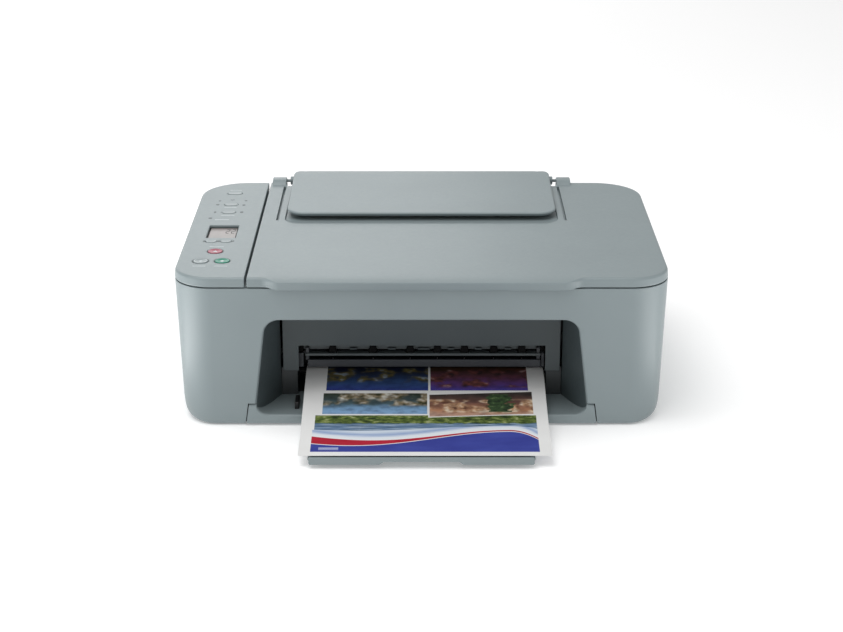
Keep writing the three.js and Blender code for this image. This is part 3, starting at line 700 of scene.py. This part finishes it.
def sup_outline(o, n=10, my=22):
    """Left and right points at matching y, front to rear."""
    x0, y0, y1, r = 128.5 - o, 176.0 + o, 316.0 - o, 17.0 - o
    pts = []
    for i in range(n + 1):
        a = i / n * PI / 2
        pts.append((x0 - r + r * math.sin(a), y0 + r - r * math.cos(a)))
    ys = [lerp(y0 + r, y1 - r, i / my) for i in range(1, my)]
    pts += [(x0, y) for y in ys]
    for i in range(n + 1):
        a = i / n * PI / 2
        pts.append((x0 - r + r * math.cos(a), y1 - r + r * math.sin(a)))
    return pts


def plate(name, o_list):
    """o_list: (inset, drop from the top, True) rings going from the top fill, over the edge, to the underside."""
    loops = []
    for o, d, top in o_list:
        half = sup_outline(o)
        right = [(x, y, (sup_top(y) - d) if top else (sup_bot(y) + d)) for x, y in half]
        left = [(-x, y, z) for x, y, z in right]
        loops.append((right, left))
    verts, faces = [], []
    n = len(loops[0][0])
    for right, left in loops:
        verts += right + left
    for k in range(len(loops) - 1):
        a, b = k * 2 * n, (k + 1) * 2 * n
        for i in range(n - 1):
            faces.append((a + i, a + i + 1, b + i + 1, b + i))
            faces.append((a + n + i + 1, a + n + i, b + n + i, b + n + i + 1))
        faces.append((a, b, b + n, a + n))
        faces.append((a + n - 1, a + 2 * n - 1, b + 2 * n - 1, b + n - 1))
    for k, flip in ((0, False), (len(loops) - 1, True)):
        a = k * 2 * n
        for i in range(n - 1):
            f = (a + i, a + n + i, a + n + i + 1, a + i + 1)
            faces.append(f if not flip else f[::-1])
    return obj(name, verts, faces)


ol = []
RS = 1.5
ol.append((6.0, 0.0, True)); ol.append((3.0, 0.02, True))
for i in range(8, -1, -1):
    a = i / 8 * PI / 2
    ol.append((RS * (1 - math.cos(a)) + (0.0 if i else 0.0), RS * (1 - math.sin(a)), True))
ol.append((1.7, 0.9, False))
for i in range(1, 5):
    a = i / 4 * PI / 2
    ol.append((1.7 + 0.8 * (1 - math.cos(a)), 0.9 * (1 - math.sin(a)), False))
ol.append((6.0, 0.0, False))
support = plate("support_plate", ol)
for s in (-1, 1):
    a, b = sorted((s * 122.0, s * 132.4)); c, d = sorted((s * 131.0, s * 137.2))
    union(support, cyl("u", 4.2, a, b, (304, 140), "x", 36, 0.5), cyl("u", 1.5, c, d, (304, 140), "x", 24, 0.2))
finish_mesh(support)
dress(support, "sage", "support", ["paper_support"])

# ------------------------------------------------------------------ keys and display
BODY = {"stop_button": "stop_key", "mono_start_button": "mono_key", "color_start_button": "color_key", "power_button": "power_key",
        "wireless_button": "wireless_key", "info_button": "info_key", "select_button_left": "select_left_key", "select_button_right": "select_right_key"}


def flat(name, pts, z, t=0.06):
    """Thin printed mark standing 0.06 mm proud."""
    return loft(name, [[(x, y, z - 0.05) for x, y in pts], [(x, y, z + t) for x, y in pts]])


def ringmark(name, x, y, r0, r1, z, n=48, sx=1.0):
    rings = []
    for r, zz in ((r1, z - 0.05), (r1, z + 0.05), (r0, z + 0.05), (r0, z - 0.05)):
        rings.append([(x + sx * r * math.cos(i / n * 2 * PI), y + r * math.sin(i / n * 2 * PI), zz) for i in range(n)])
    return loft(name, rings, close=True)


KM = {"stop_button": ("red", "button_red"), "mono_start_button": ("key", "button_sage"), "color_start_button": ("green", "button_green")}
for name, (x, y, r) in ROUND.items():
    rings = []
    for q, z in ((6.0, 134.3), (6.6, 134.5), (6.6, 135.5), (7.9, 135.6), (7.9, 136.7), (6.6, 136.8), (6.6, 139.3), (6.55, 139.6), (6.3, 139.88), (5.9, 139.96), (5.2, 139.85), (4.0, 139.55), (2.4, 139.35), (1.0, 139.28)):
        rings.append([(x + q * math.cos(i / 48 * 2 * PI), y + q * math.sin(i / 48 * 2 * PI), z) for i in range(48)])
    k = loft(name + "_cap", rings)
    finish_mesh(k)
    mat, sl = KM[name]
    dress(k, mat, BODY[name], [name])
for name, (x, y, a, b) in OVAL.items():
    rings = []
    for o, z in ((0.6, 134.3), (0, 134.5), (0, 135.5), (-1.1, 135.6), (-1.1, 136.7), (0, 136.8), (0, 139.3), (0.06, 139.6), (0.3, 139.84), (0.9, 139.9), (2.0, 139.75), (3.0, 139.68)):
        rings.append([(p, q, z) for p, q in rrect(x - a + o, x + a - o, y - b + o, y + b - o, b - 0.02 - o, 8)])
    k = loft(name + "_cap", rings)
    finish_mesh(k)
    dress(k, "key", BODY[name], [name])

marks = []
x, y, r = ROUND["mono_start_button"]
m1 = join("mono_mark", [ringmark("r", x, y, 5.3, 6.0, 139.9), flat("d", [(x, y - 2.6), (x + 2.2, y), (x, y + 2.6), (x - 2.2, y)], 139.3, 0.12)])
dress(m1, "ring", "mono_key")
x, y, r = ROUND["color_start_button"]
m2 = join("color_mark", [flat("d", [(x, y - 2.6), (x + 2.2, y), (x, y + 2.6), (x - 2.2, y)], 139.3, 0.12)])
dress(m2, "ring", "color_key")
x, y, r = ROUND["stop_button"]
m3 = join("stop_mark", [flat("t", [(x - 2.3, y - 1.8), (x + 2.3, y - 1.8), (x, y + 2.4)], 139.32, 0.12)])
dress(m3, "ring", "stop_key")

# printed rings and legends on the panel
legend = []
for n in ("stop_button", "color_start_button", "mono_start_button"):
    x, y, r = ROUND[n]
    legend.append(ringmark("r", x, y, 7.55, 7.95, TOP))
for (x, y, a, b) in ((-197.2, 233.8, 1.3, 1.6), (-198.2, 220.9, 1.7, 1.9), (-171.8, 234.4, 1.3, 1.7), (-172.6, 219.6, 1.5, 2.0), (-198.2, 195.9, 1.1, 2.6), (-172.7, 195.9, 1.6, 2.4),
                     (-200.7, 176.4, 1.8, 2.2), (-199.2, 104.7, 1.0, 2.4), (-185.9, 104.7, 1.0, 2.4), (-172.6, 105.2, 1.0, 2.2)):
    legend.append(flat("m", rrect(x - a, x + a, y - b, y + b, min(a, b) * 0.9, 3), TOP, 0.04))
legend.append(ringmark("r", -185.0, 237.0, 1.4, 2.0, TOP))
lg = join("panel_legends", legend)
dress(lg, "label", "casing")
legend = []
for (x0, x1, y) in ((-202.0, -190.4, 33.5), (-182.8, -171.2, 33.5), (-192.5, -179.5, 88.5), (-190.5, -179.1, 270.5), (-191.0, -179.0, 211.5), (-191.5, -178.7, 185.6), (-196.0, -182.4, 171.6)):
    legend.append(flat("m", rrect(x0, x1, y - 0.6, y + 0.6, 0.55, 3), TOP, 0.04))
lg = join("panel_captions", legend)
dress(lg, "ring", "casing")

win = rbox("display_block", -200.1, -169.9, 113.9, 155.7, 133.1, 136.3, 0.3, "z", rc=1.0)
finish_mesh(win)
dress(win, "black", "casing", ["lcd_module"])
scr = rbox("display_screen", -197.4, -172.6, 116.6, 152.6, 136.0, 136.9, 0.2, "z", rc=0.8)
finish_mesh(scr)
dress(scr, "lcd", "casing")


def segs(x, y, w, h, on, z):
    """Seven-segment figure; y grows to the rear, so the figure's top is at y + h."""
    t, g, out = 0.95, 0.25, []
    H = [(y + h, "a"), (y + h / 2, "g"), (y, "d")]
    for yy, k in H:
        if k in on:
            out.append(flat("s", [(x + g, yy), (x + g + t / 2, yy + t / 2), (x + w - g - t / 2, yy + t / 2), (x + w - g, yy), (x + w - g - t / 2, yy - t / 2), (x + g + t / 2, yy - t / 2)][::-1], z))
    for xx, y0, k in ((x, y + h / 2, "f"), (x + w, y + h / 2, "b"), (x, y, "e"), (x + w, y, "c")):
        if k in on:
            y1 = y0 + h / 2
            out.append(flat("s", [(xx, y0 + g), (xx + t / 2, y0 + g + t / 2), (xx + t / 2, y1 - g - t / 2), (xx, y1 - g), (xx - t / 2, y1 - g - t / 2), (xx - t / 2, y0 + g + t / 2)], z))
    return out


dig = segs(-182.4, 137.0, 3.0, 12.0, "abged", 136.92) + segs(-177.4, 137.0, 3.0, 12.0, "abged", 136.92)
dg_ = join("display_digits", dig)
dress(dg_, "black", "casing")
# ------------------------------------------------------------------ access cover, star wheel holder
door = rbox("access_door", -125.3, 125.3, 48.2, 50.8, 34.5, 103.1, 0.5, "y", rc=1.2)
cut(door, rbox("c", -111.2, 112.0, 40, 60, 20, 58.9, 0.4, "y", rc=1.2))
for s in (-1, 1):
    a, b = sorted((s * 125.0, s * 128.4))
    union(door, cyl("u", 1.6, a, b, (49.5, 101.0), "x", 20, 0.2))
finish_mesh(door)
# The access cover is sage with painted shade: the darkened copy of the sage plastic stands in for the shade deep in the
# bay.
dress(door, "sage_painted_shade", "inner_cover", ["access_cover"])

PODS = [-81, -44.3, -10.3, 14.5, 39.3, 65.9, 91.6]
back = join("star_holder_back", [rbox("p", -111.6, 111.6, 66.2, 67.6, 48.6, 61.0, 0.3, "x"), rbox("p", -106.0, 108.5, 59.4, 66.6, 44.5, 46.9, 0.5, "x")])
finish_mesh(back)
dress(back, "strip", "casing")
hp = [rbox("p", -111.6, 111.6, 66.2, 67.6, 44.4, 47.0, 0.3, "x"), rbox("p", -103.8, 108.7, 59.2, 62.2, 33.7, 40.9, 0.8, "x"),
      rbox("p", -111.9, -107.4, 60.0, 67.4, 33.6, 47.2, 0.5, "x"), rbox("p", 109.0, 111.9, 60.0, 67.4, 33.6, 47.2, 0.5, "x")]
for x in (-104.0, 106.4):
    hp.append(rbox("p", x - 1.6, x + 1.6, 61.0, 67.4, 40.0, 52.0, 0.5, "x"))
holder = join("star_holder_frame", hp)
finish_mesh(holder)
dress(holder, "bar", "casing", ["star_wheel_holder"])
pp = [rbox("p", -108, 108, 68.2, 69.4, 33.6, 61.0, 0.3, "x")]
for x in PODS:
    pp.append(loft("p", [[(x + s_ * (2.7 + o), y, z) if z > 48 else (x + s_ * (4.3 + o), y, z) for s_, z in ((-1, 44.9), (1, 44.9), (1, 52.9), (-1, 52.9))] for y, o in ((61.6, -0.5), (62.1, 0.0), (66.4, 0.0))]))
    pp.append(rbox("p", x - 1.6, x + 1.6, 62.4, 66.4, 50.5, 54.6, 0.4, "x"))
for x in (-109.2, 110.0):
    pp.append(rbox("p", x - 1.7, x + 1.7, 62.0, 66.4, 47.5, 55.0, 0.4, "x"))
pods = join("star_wheel_pods", pp)
finish_mesh(pods)
dress(pods, "pod", "casing")
bits = []
for x, w_ in ((-62.0, 3.4), (-27.0, 3.6), (2.0, 5.5), (27.0, 3.0), (52.0, 2.8), (79.0, 2.8)):
    bits.append(rbox("p", x - w_, x + w_, 63.4, 66.0, 48.9, 50.6, 0.4, "x"))
rail = join("star_wheel_clips", bits)
finish_mesh(rail)
# The star-wheel clips are sage with painted shade, using the darkened copy of the sage plastic.
dress(rail, "sage_painted_shade", "casing")

# rear wall of the landing, either side of the tray
for nm, a, b in (("landing_wall_left", -127.0, -112.4), ("landing_wall_right", 113.0, 127.0)):
    wall = rbox(nm, a, b, 51.3, 53.3, 8.8, 37.0, 0.4, "y", rc=1.0)
    finish_mesh(wall)
    dress(wall, "dark", "casing")

# ------------------------------------------------------------------ tray
tr = rbox("tray_frame", -104, 104, -47.5, 72, 4.2, 8.1, 0.6, "z", rc=3.0)
cut(tr, rbox("c", -97.4, 97.4, -60, 60, 6.2, 12, 0.2, "z", rc=1.0))
for i in range(7):
    cut(tr, rbox("c", -78 + i * 24, -66 + i * 24, -30, 52, 3, 5.0, 0.2, "z", rc=2))
finish_mesh(tr)
dress(tr, "sage", "tray", ["output_tray"])
ext = rbox("tray_end_plate", -96.6, 96.6, -88, 12, 6.5, 7.9, 0.3, "z", rc=2.0)
nose = []
for x, z0, z1 in ((-95.6, 4.6, 9.3), (-94.8, 3.7, 9.8), (-94, 3.6, 9.9), (-36, 3.6, 9.9), (-34.5, 4.3, 9.9), (-32, 6.3, 9.9), (32, 6.3, 9.9), (34.5, 4.3, 9.9), (36, 3.6, 9.9), (94, 3.6, 9.9), (94.8, 3.7, 9.8), (95.6, 4.6, 9.3)):
    y0, y1, r = -90.0, -87.0, 0.5
    ring = []
    for cy, cz, a0 in ((y1 - r, z1 - r, 0), (y0 + r, z1 - r, 1), (y0 + r, z0 + r, 2), (y1 - r, z0 + r, 3)):
        for i in range(4):
            a = (a0 + i / 3) * PI / 2
            ring.append((x, cy + r * math.cos(a), cz + r * math.sin(a)))
    nose.append(ring)
union(ext, loft("n", nose))
finish_mesh(ext)
dress(ext, "sage", "tray_end", ["tray_extension"])
blk = rbox("tray_stop", -113.5, -109.6, 16, 34, 9.0, 17.0, 0.8, "x")
finish_mesh(blk)
dress(blk, "black", "casing")

# ------------------------------------------------------------------ printed sheet
def sheet_z(y):
    pts = [(-86.4, 10.5), (-60, 11.8), (-35, 14.3), (-10, 18.4), (10, 22.3), (30, 26.3), (50, 29.7), (66, 31.4), (130, 31.4), (189, 31.4)]
    if y >= 66:
        return 31.4
    # Catmull-Rom through the points
    for i in range(len(pts) - 1):
        if y <= pts[i + 1][0]:
            p0 = pts[max(i - 1, 0)]; p1 = pts[i]; p2 = pts[i + 1]; p3 = pts[min(i + 2, len(pts) - 1)]
            t = (y - p1[0]) / (p2[0] - p1[0])
            m1_ = (p2[1] - p0[1]) / (p2[0] - p0[0]) * (p2[0] - p1[0]) if p2[0] != p0[0] else 0
            m2_ = (p3[1] - p1[1]) / (p3[0] - p1[0]) * (p2[0] - p1[0])
            return (2 * t ** 3 - 3 * t * t + 1) * p1[1] + (t ** 3 - 2 * t * t + t) * m1_ + (-2 * t ** 3 + 3 * t * t) * p2[1] + (t ** 3 - t * t) * m2_
    return 31.4


SX0, SX1 = -104.95, 110.95
ys = [-86.4 + i * 2.0 for i in range(77)] + [70 + i * 17 for i in range(8)]
xsn = 24
rings = []
for y in ys:
    z = sheet_z(y)
    rings.append([(lerp(SX0, SX1, i / xsn), y, z + 0.02) for i in range(xsn + 1)] + [(lerp(SX1, SX0, i / xsn), y, z + 0.20) for i in range(xsn + 1)])
sheet = loft("printed_page", rings)


def paper_mat():
    m, nt, b = new_mat("printed_paper")
    N, L = nt.nodes, nt.links
    tc = N.new("ShaderNodeTexCoord")
    sep = N.new("ShaderNodeSeparateXYZ"); L.new(tc.outputs["Object"], sep.inputs[0])

    def math_(op, a, b_=None, c=None, clamp=False):
        n = N.new("ShaderNodeMath"); n.operation = op; n.use_clamp = clamp
        for k, v in enumerate((a, b_, c)):
            if v is None:
                continue
            if isinstance(v, (int, float)):
                n.inputs[k].default_value = v
            else:
                L.new(v, n.inputs[k])
        return n.outputs[0]
    # sheet coordinates in millimetres: u from the left edge, v from the front edge
    u = math_("MULTIPLY_ADD", sep.outputs["X"], 1000.0, -SX0)
    v = math_("MULTIPLY_ADD", sep.outputs["Y"], 1000.0, -OY + 86.4)

    def band(a, lo, hi, s=0.25):
        return math_("MULTIPLY", math_("MULTIPLY_ADD", math_("SUBTRACT", a, lo), 1 / s, 0.5, True), math_("MULTIPLY_ADD", math_("SUBTRACT", hi, a), 1 / s, 0.5, True))

    def rect(x0, x1, y0, y1):
        return math_("MULTIPLY", band(u, x0, x1), band(v, y0, y1))

    def mix(fac, a, c):
        n = N.new("ShaderNodeMix"); n.data_type = "RGBA"
        if isinstance(fac, (int, float)):
            n.inputs["Factor"].default_value = fac
        else:
            L.new(fac, n.inputs["Factor"])
        for k, q in ((6, a), (7, c)):
            if isinstance(q, tuple):
                n.inputs[k].default_value = (*q, 1)
            else:
                L.new(q, n.inputs[k])
        return n.outputs[2]

    def noise(sx, sy, det=5, seed=0.0, rough=0.6, sc=1.0, dist=0.0):
        cb = N.new("ShaderNodeCombineXYZ")
        L.new(math_("MULTIPLY", u, sx), cb.inputs[0]); L.new(math_("MULTIPLY", v, sy), cb.inputs[1]); cb.inputs[2].default_value = seed
        n = N.new("ShaderNodeTexNoise"); n.inputs["Scale"].default_value = sc; n.inputs["Detail"].default_value = det; n.inputs["Roughness"].default_value = rough; n.inputs["Distortion"].default_value = dist
        L.new(cb.outputs[0], n.inputs["Vector"])
        return n.outputs["Fac"]

    def ramp(fac, *stops):
        r = N.new("ShaderNodeValToRGB")
        e = r.color_ramp.elements
        while len(e) < len(stops):
            e.new(0.5)
        for k, (p, c) in enumerate(stops):
            e[k].position = p; e[k].color = (*c, 1)
        L.new(fac, r.inputs["Fac"])
        return r.outputs["Color"]

    paper = ramp(noise(0.02, 0.02, 3, 9.0), (0.3, (0.80, 0.80, 0.79)), (0.7, (0.84, 0.84, 0.83)))
    white = (0.82, 0.82, 0.81)
    L0, R0 = 10.2, 205.6
    art = math_("MULTIPLY", band(u, L0, R0), band(v, 7.3, 152.0))
    # upper edge of the footer: one low and one high swell, falling away at the right
    over = math_("MAXIMUM", math_("SUBTRACT", u, 182.0), 0.0)
    crest = math_("MULTIPLY_ADD", math_("COSINE", math_("MULTIPLY_ADD", u, PI / 137.0, -45.0 * PI / 137.0)), -12.7, 31.2)
    crest = math_("SUBTRACT", crest, math_("MULTIPLY", math_("MULTIPLY", over, over), 0.022))
    q = math_("MULTIPLY_ADD", u, 1 / 80.0, -5 / 80.0)
    thick = math_("MULTIPLY_ADD", math_("EXPONENT", math_("MULTIPLY", math_("MULTIPLY", q, q), -1.0)), 10.5, 1.9)
    red_lo = math_("ADD", crest, 1.1)
    red_hi = math_("ADD", red_lo, thick)

    def under(edge, soft=0.35):
        return math_("MULTIPLY_ADD", math_("SUBTRACT", edge, v), 1 / soft, 0.5, True)
    blue_c = ramp(noise(0.02, 0.05, 2, 2.0), (0.3, (0.030, 0.040, 0.27)), (0.7, (0.050, 0.070, 0.36)))
    red_c = ramp(noise(0.03, 0.1, 2, 4.0), (0.3, (0.36, 0.006, 0.022)), (0.7, (0.50, 0.014, 0.040)))

    def picture(v0, v1, base, blobs, lo, hi, seed, wob=0.35, fx=0.10, fy=0.13, bx=0.16, by=0.11, cut_=0.5):
        t = math_("MULTIPLY_ADD", math_("SUBTRACT", v, v0), 1.0 / (v1 - v0), 0.0)
        w_ = math_("MULTIPLY_ADD", noise(fx * 0.6, fy * 0.7, 3, seed, 0.5), wob, -wob / 2)
        basec = ramp(math_("ADD", t, w_), *base)
        shape = math_("MULTIPLY_ADD", math_("SUBTRACT", noise(bx * 0.42, by * 0.72, 2, seed + 3.3, 0.45, dist=0.2), cut_), 9.0, 0.5, True)
        zone = math_("MULTIPLY", math_("MULTIPLY_ADD", math_("SUBTRACT", t, lo), 9.0, 0.5, True), math_("MULTIPLY_ADD", math_("SUBTRACT", hi, t), 9.0, 0.5, True))
        blobc = ramp(noise(0.13, 0.15, 2, seed + 6.1, 0.45), *blobs)
        col = mix(math_("MULTIPLY", shape, zone), basec, blobc)
        shade = N.new("ShaderNodeMix"); shade.data_type = "RGBA"; shade.blend_type = "MULTIPLY"; shade.inputs["Factor"].default_value = 0.55
        L.new(col, shade.inputs[6])
        L.new(ramp(noise(0.11, 0.16, 3, seed + 9.0, 0.5), (0.34, (0.34, 0.34, 0.38)), (0.58, (1.0, 1.0, 1.0))), shade.inputs[7])
        return shade.outputs[2]
    night = picture(109.5, 150, ((0.0, (0.030, 0.050, 0.26)), (0.30, (0.035, 0.085, 0.24)), (0.55, (0.020, 0.045, 0.12)), (0.85, (0.008, 0.012, 0.035))),
                    ((0.35, (0.02, 0.03, 0.05)), (0.55, (0.16, 0.13, 0.03)), (0.7, (0.30, 0.36, 0.42))), 0.35, 0.95, 31.0, cut_=0.52)
    dusk = picture(109.5, 150, ((0.0, (0.070, 0.055, 0.34)), (0.28, (0.12, 0.050, 0.22)), (0.55, (0.14, 0.045, 0.075)), (0.85, (0.050, 0.022, 0.010))),
                   ((0.35, (0.03, 0.012, 0.015)), (0.6, (0.22, 0.07, 0.06)), (0.72, (0.45, 0.30, 0.30))), 0.15, 0.9, 43.0, cut_=0.53)
    coast = picture(72.4, 105.5, ((0.0, (0.25, 0.42, 0.66)), (0.30, (0.20, 0.36, 0.56)), (0.50, (0.07, 0.12, 0.14)), (0.95, (0.030, 0.040, 0.020))),
                    ((0.35, (0.05, 0.05, 0.02)), (0.5, (0.30, 0.24, 0.15)), (0.66, (0.72, 0.70, 0.62))), 0.42, 1.1, 57.0, bx=0.13, by=0.09, cut_=0.47)
    town = picture(70.0, 105.0, ((0.0, (0.50, 0.33, 0.26)), (0.30, (0.46, 0.22, 0.12)), (0.62, (0.16, 0.075, 0.06)), (0.95, (0.045, 0.035, 0.030))),
                   ((0.35, (0.12, 0.05, 0.03)), (0.5, (0.55, 0.32, 0.18)), (0.64, (0.85, 0.70, 0.52))), 0.16, 0.72, 71.0, bx=0.12, by=0.12, cut_=0.46)
    tree = math_("MULTIPLY", band(math_("MULTIPLY_ADD", noise(0.12, 0.16, 5, 88.0), 26.0, u), 176.0, 197.0, 1.2), band(v, 76.0, 104.0, 2.0))
    town = mix(tree, town, ramp(noise(0.18, 0.22, 4, 90.0, 0.6), (0.36, (0.012, 0.022, 0.012)), (0.6, (0.05, 0.10, 0.035)), (0.72, (0.22, 0.28, 0.14))))
    woods = ramp(noise(0.12, 0.24, 4, 13.0, 0.6), (0.34, (0.012, 0.022, 0.006)), (0.5, (0.075, 0.12, 0.022)), (0.62, (0.22, 0.27, 0.075)), (0.74, (0.50, 0.52, 0.36)))
    lake = ramp(noise(0.035, 0.55, 4, 17.0, 0.55), (0.34, (0.035, 0.070, 0.115)), (0.52, (0.13, 0.22, 0.36)), (0.68, (0.46, 0.55, 0.64)))
    bank = math_("MULTIPLY_ADD", noise(0.09, 0.0, 5, 19.0), 7.0, 54.5)
    pano = mix(under(bank, 0.9), woods, lake)
    # pale sweep between the lake and the ribbon
    sweep = ramp(math_("ADD", math_("MULTIPLY_ADD", math_("SUBTRACT", v, red_hi), 0.070, 0.0), math_("MULTIPLY_ADD", noise(0.03, 0.30, 4, 23.0), 0.36, -0.18)),
                 (0.0, (0.80, 0.82, 0.84)), (0.35, (0.74, 0.79, 0.85)), (0.65, (0.30, 0.40, 0.62)), (1.0, (0.62, 0.70, 0.80)))
    c = paper
    c = mix(rect(L0 + 1.5, R0, 44.0, 70.9), c, pano)
    c = mix(math_("MULTIPLY", math_("MULTIPLY", band(u, L0, R0), band(v, 7.3, 60.0)), under(math_("ADD", math_("MULTIPLY_ADD", crest, 0.35, 38.5), math_("MULTIPLY", thick, 0.10)), 0.8)), c, sweep)
    tilt = math_("MULTIPLY_ADD", math_("SUBTRACT", u, 110.0), -0.05, v)

    def framed(x0, x1, y0, y1, vv, pic, base, edge=1.1):
        o = math_("MULTIPLY", band(u, x0 - edge, x1 + edge), band(vv, y0 - edge, y1 + edge))
        i = math_("MULTIPLY", band(u, x0, x1), band(vv, y0, y1))
        return mix(i, mix(o, base, white), pic)
    c = framed(17.5, 110.0, 73.0, 105.5, v, coast, c, 0.9)
    c = framed(112.0, 203.5, 68.6, 103.0, tilt, town, c, 1.1)
    c = framed(19.5, 111.0, 109.8, 152.0, v, night, c, 0.8)
    c = framed(113.0, 200.5, 109.8, 152.0, v, dusk, c, 0.8)
    ribbon = math_("MULTIPLY", math_("MULTIPLY", band(u, L0, R0), band(v, 7.3, 70.0)), under(red_hi))
    c = mix(ribbon, c, red_c)
    c = mix(math_("MULTIPLY", math_("MULTIPLY", band(u, L0, R0), band(v, 7.3, 70.0)), under(red_lo)), c, white)
    foot = math_("MULTIPLY", math_("MULTIPLY", band(u, L0, R0), band(v, 7.3, 70.0)), under(crest))
    c = mix(foot, c, blue_c)
    # two plain pale rules stand in for a caption
    c = mix(rect(17.0, 34.0, 11.0, 11.9), c, (0.55, 0.60, 0.78))
    c = mix(rect(17.0, 34.0, 13.4, 15.2), c, (0.55, 0.60, 0.78))
    L.new(c, b.inputs["Base Color"])
    fib = N.new("ShaderNodeTexNoise"); fib.inputs["Scale"].default_value = 1800; fib.inputs["Detail"].default_value = 4
    L.new(tc.outputs["Object"], fib.inputs["Vector"])
    bp = N.new("ShaderNodeBump"); bp.inputs["Strength"].default_value = 0.08; bp.inputs["Distance"].default_value = 0.00005
    L.new(fib.outputs["Fac"], bp.inputs["Height"]); L.new(bp.outputs["Normal"], b.inputs["Normal"])
    rr = N.new("ShaderNodeMapRange"); rr.inputs["To Min"].default_value = 0.42; rr.inputs["To Max"].default_value = 0.58
    L.new(fib.outputs["Fac"], rr.inputs["Value"]); L.new(rr.outputs["Result"], b.inputs["Roughness"])
    return m


M["page"] = paper_mat()
finish_mesh(sheet, 40)
dress(sheet, "page", "sheet", ["printed_sheet"])

# ------------------------------------------------------------------ carried-over CAD nodes
coat_node("rubber", "foot_front_left", "foot_front_right", "foot_rear_left", "foot_rear_right", "eject_roller", "pickup_roller")
coat_node("sage", "scanner_frame")
coat_node("glass", "platen_glass")
coat_node("steel", "scan_rail", "chassis", "feed_motor", "carriage_motor", "motor_pulley", "motor_pinion", "feed_roller", "star_wheels", "usb_port")
coat_node("black", "scan_head", "print_platen", "pinch_roller_holder", "carriage", "black_cartridge", "color_cartridge", "carriage_belt", "power_supply", "power_inlet", "idler_pulley")
coat_node("dark", "hinge_bracket_left", "hinge_bracket_right", "rear_tray", "paper_guide_left", "paper_guide_right", "purge_unit")
coat_node("white", "feed_gear", "idler_gear", "eject_gear", "encoder_strip")
coat_node("foam", "document_pad", "waste_ink_pad")
coat_node("board", "main_board", "panel_board")

# ------------------------------------------------------------------ floor, light, camera
me = bpy.data.meshes.new("floor")
me.from_pydata([(-6, -6, 0), (6, -6, 0), (6, 8, 0), (-6, 8, 0)], [], [(0, 1, 2, 3)])
floor = bpy.data.objects.new("floor", me)
bpy.context.scene.collection.objects.link(floor)
fm, fnt, fb = new_mat("pale_floor")
fb.inputs["Base Color"].default_value = (0.93, 0.93, 0.93, 1)
fb.inputs["Roughness"].default_value = 0.9
fb.inputs["Specular IOR Level"].default_value = 0.1
fb.inputs["Emission Color"].default_value = (1, 1, 1, 1)
fb.inputs["Emission Strength"].default_value = 0.22
me.materials.append(fm)

w = bpy.data.worlds.new("studio")
bpy.context.scene.world = w
w.use_nodes = True
w.node_tree.nodes["Background"].inputs[0].default_value = (1, 1, 1, 1)
w.node_tree.nodes["Background"].inputs[1].default_value = 0.52


def area(name, loc, target, size, size_y, energy, color=(1, 1, 1)):
    ld = bpy.data.lights.new(name, "AREA")
    ld.shape = "RECTANGLE"; ld.size = size; ld.size_y = size_y; ld.energy = energy; ld.color = color
    lo_ = bpy.data.objects.new(name, ld)
    lo_.location = loc
    d = Vector(target) - Vector(loc)
    lo_.rotation_euler = d.to_track_quat("-Z", "Y").to_euler()
    bpy.context.scene.collection.objects.link(lo_)
    return lo_


bpy.context.scene.view_settings.view_transform = "Standard"
area("overhead", (-0.50, -0.42, 2.1), (-0.1, -0.1, 0.1), 2.0, 1.6, 27)
area("rear_sheen", (-0.75, 2.5, 1.05), (0, 0, 0.1), 1.9, 0.9, 9.5)
area("strip_left", (-1.0, -0.55, 0.42), (-0.2, -0.1, 0.08), 0.20, 0.84, 1.2)
area("strip_right", (1.0, -0.55, 0.42), (0.2, -0.1, 0.08), 0.18, 0.84, 0.3)


def card(name, x, y, angle, length, width, power):
    """Low reflector lying beside the object, outside the picture of it."""
    c_ = area(name, (x, y, 0.006), (x, y, 1.0), width, length, power)
    c_.rotation_euler = (PI, 0, math.radians(angle))
    c_.visible_camera = False


card("card_left", -0.41, -0.15, 0, 0.24, 0.20, 0.62)
card("card_right", 0.42, -0.20, 0, 0.26, 0.22, 0.54)

cam = bpy.data.cameras.new("camera")
cam.sensor_width = 36.0
cam.lens = 36.0 * 1921.97 / 843.0
cam.clip_start = 0.05; cam.clip_end = 50
co = bpy.data.objects.new("camera", cam)
co.location = (0, (-1572.2 + OY) * 0.001, 0.67874)
co.rotation_euler = (math.radians(90 - 20.052), 0, 0)
bpy.context.scene.collection.objects.link(co)
bpy.context.scene.camera = co
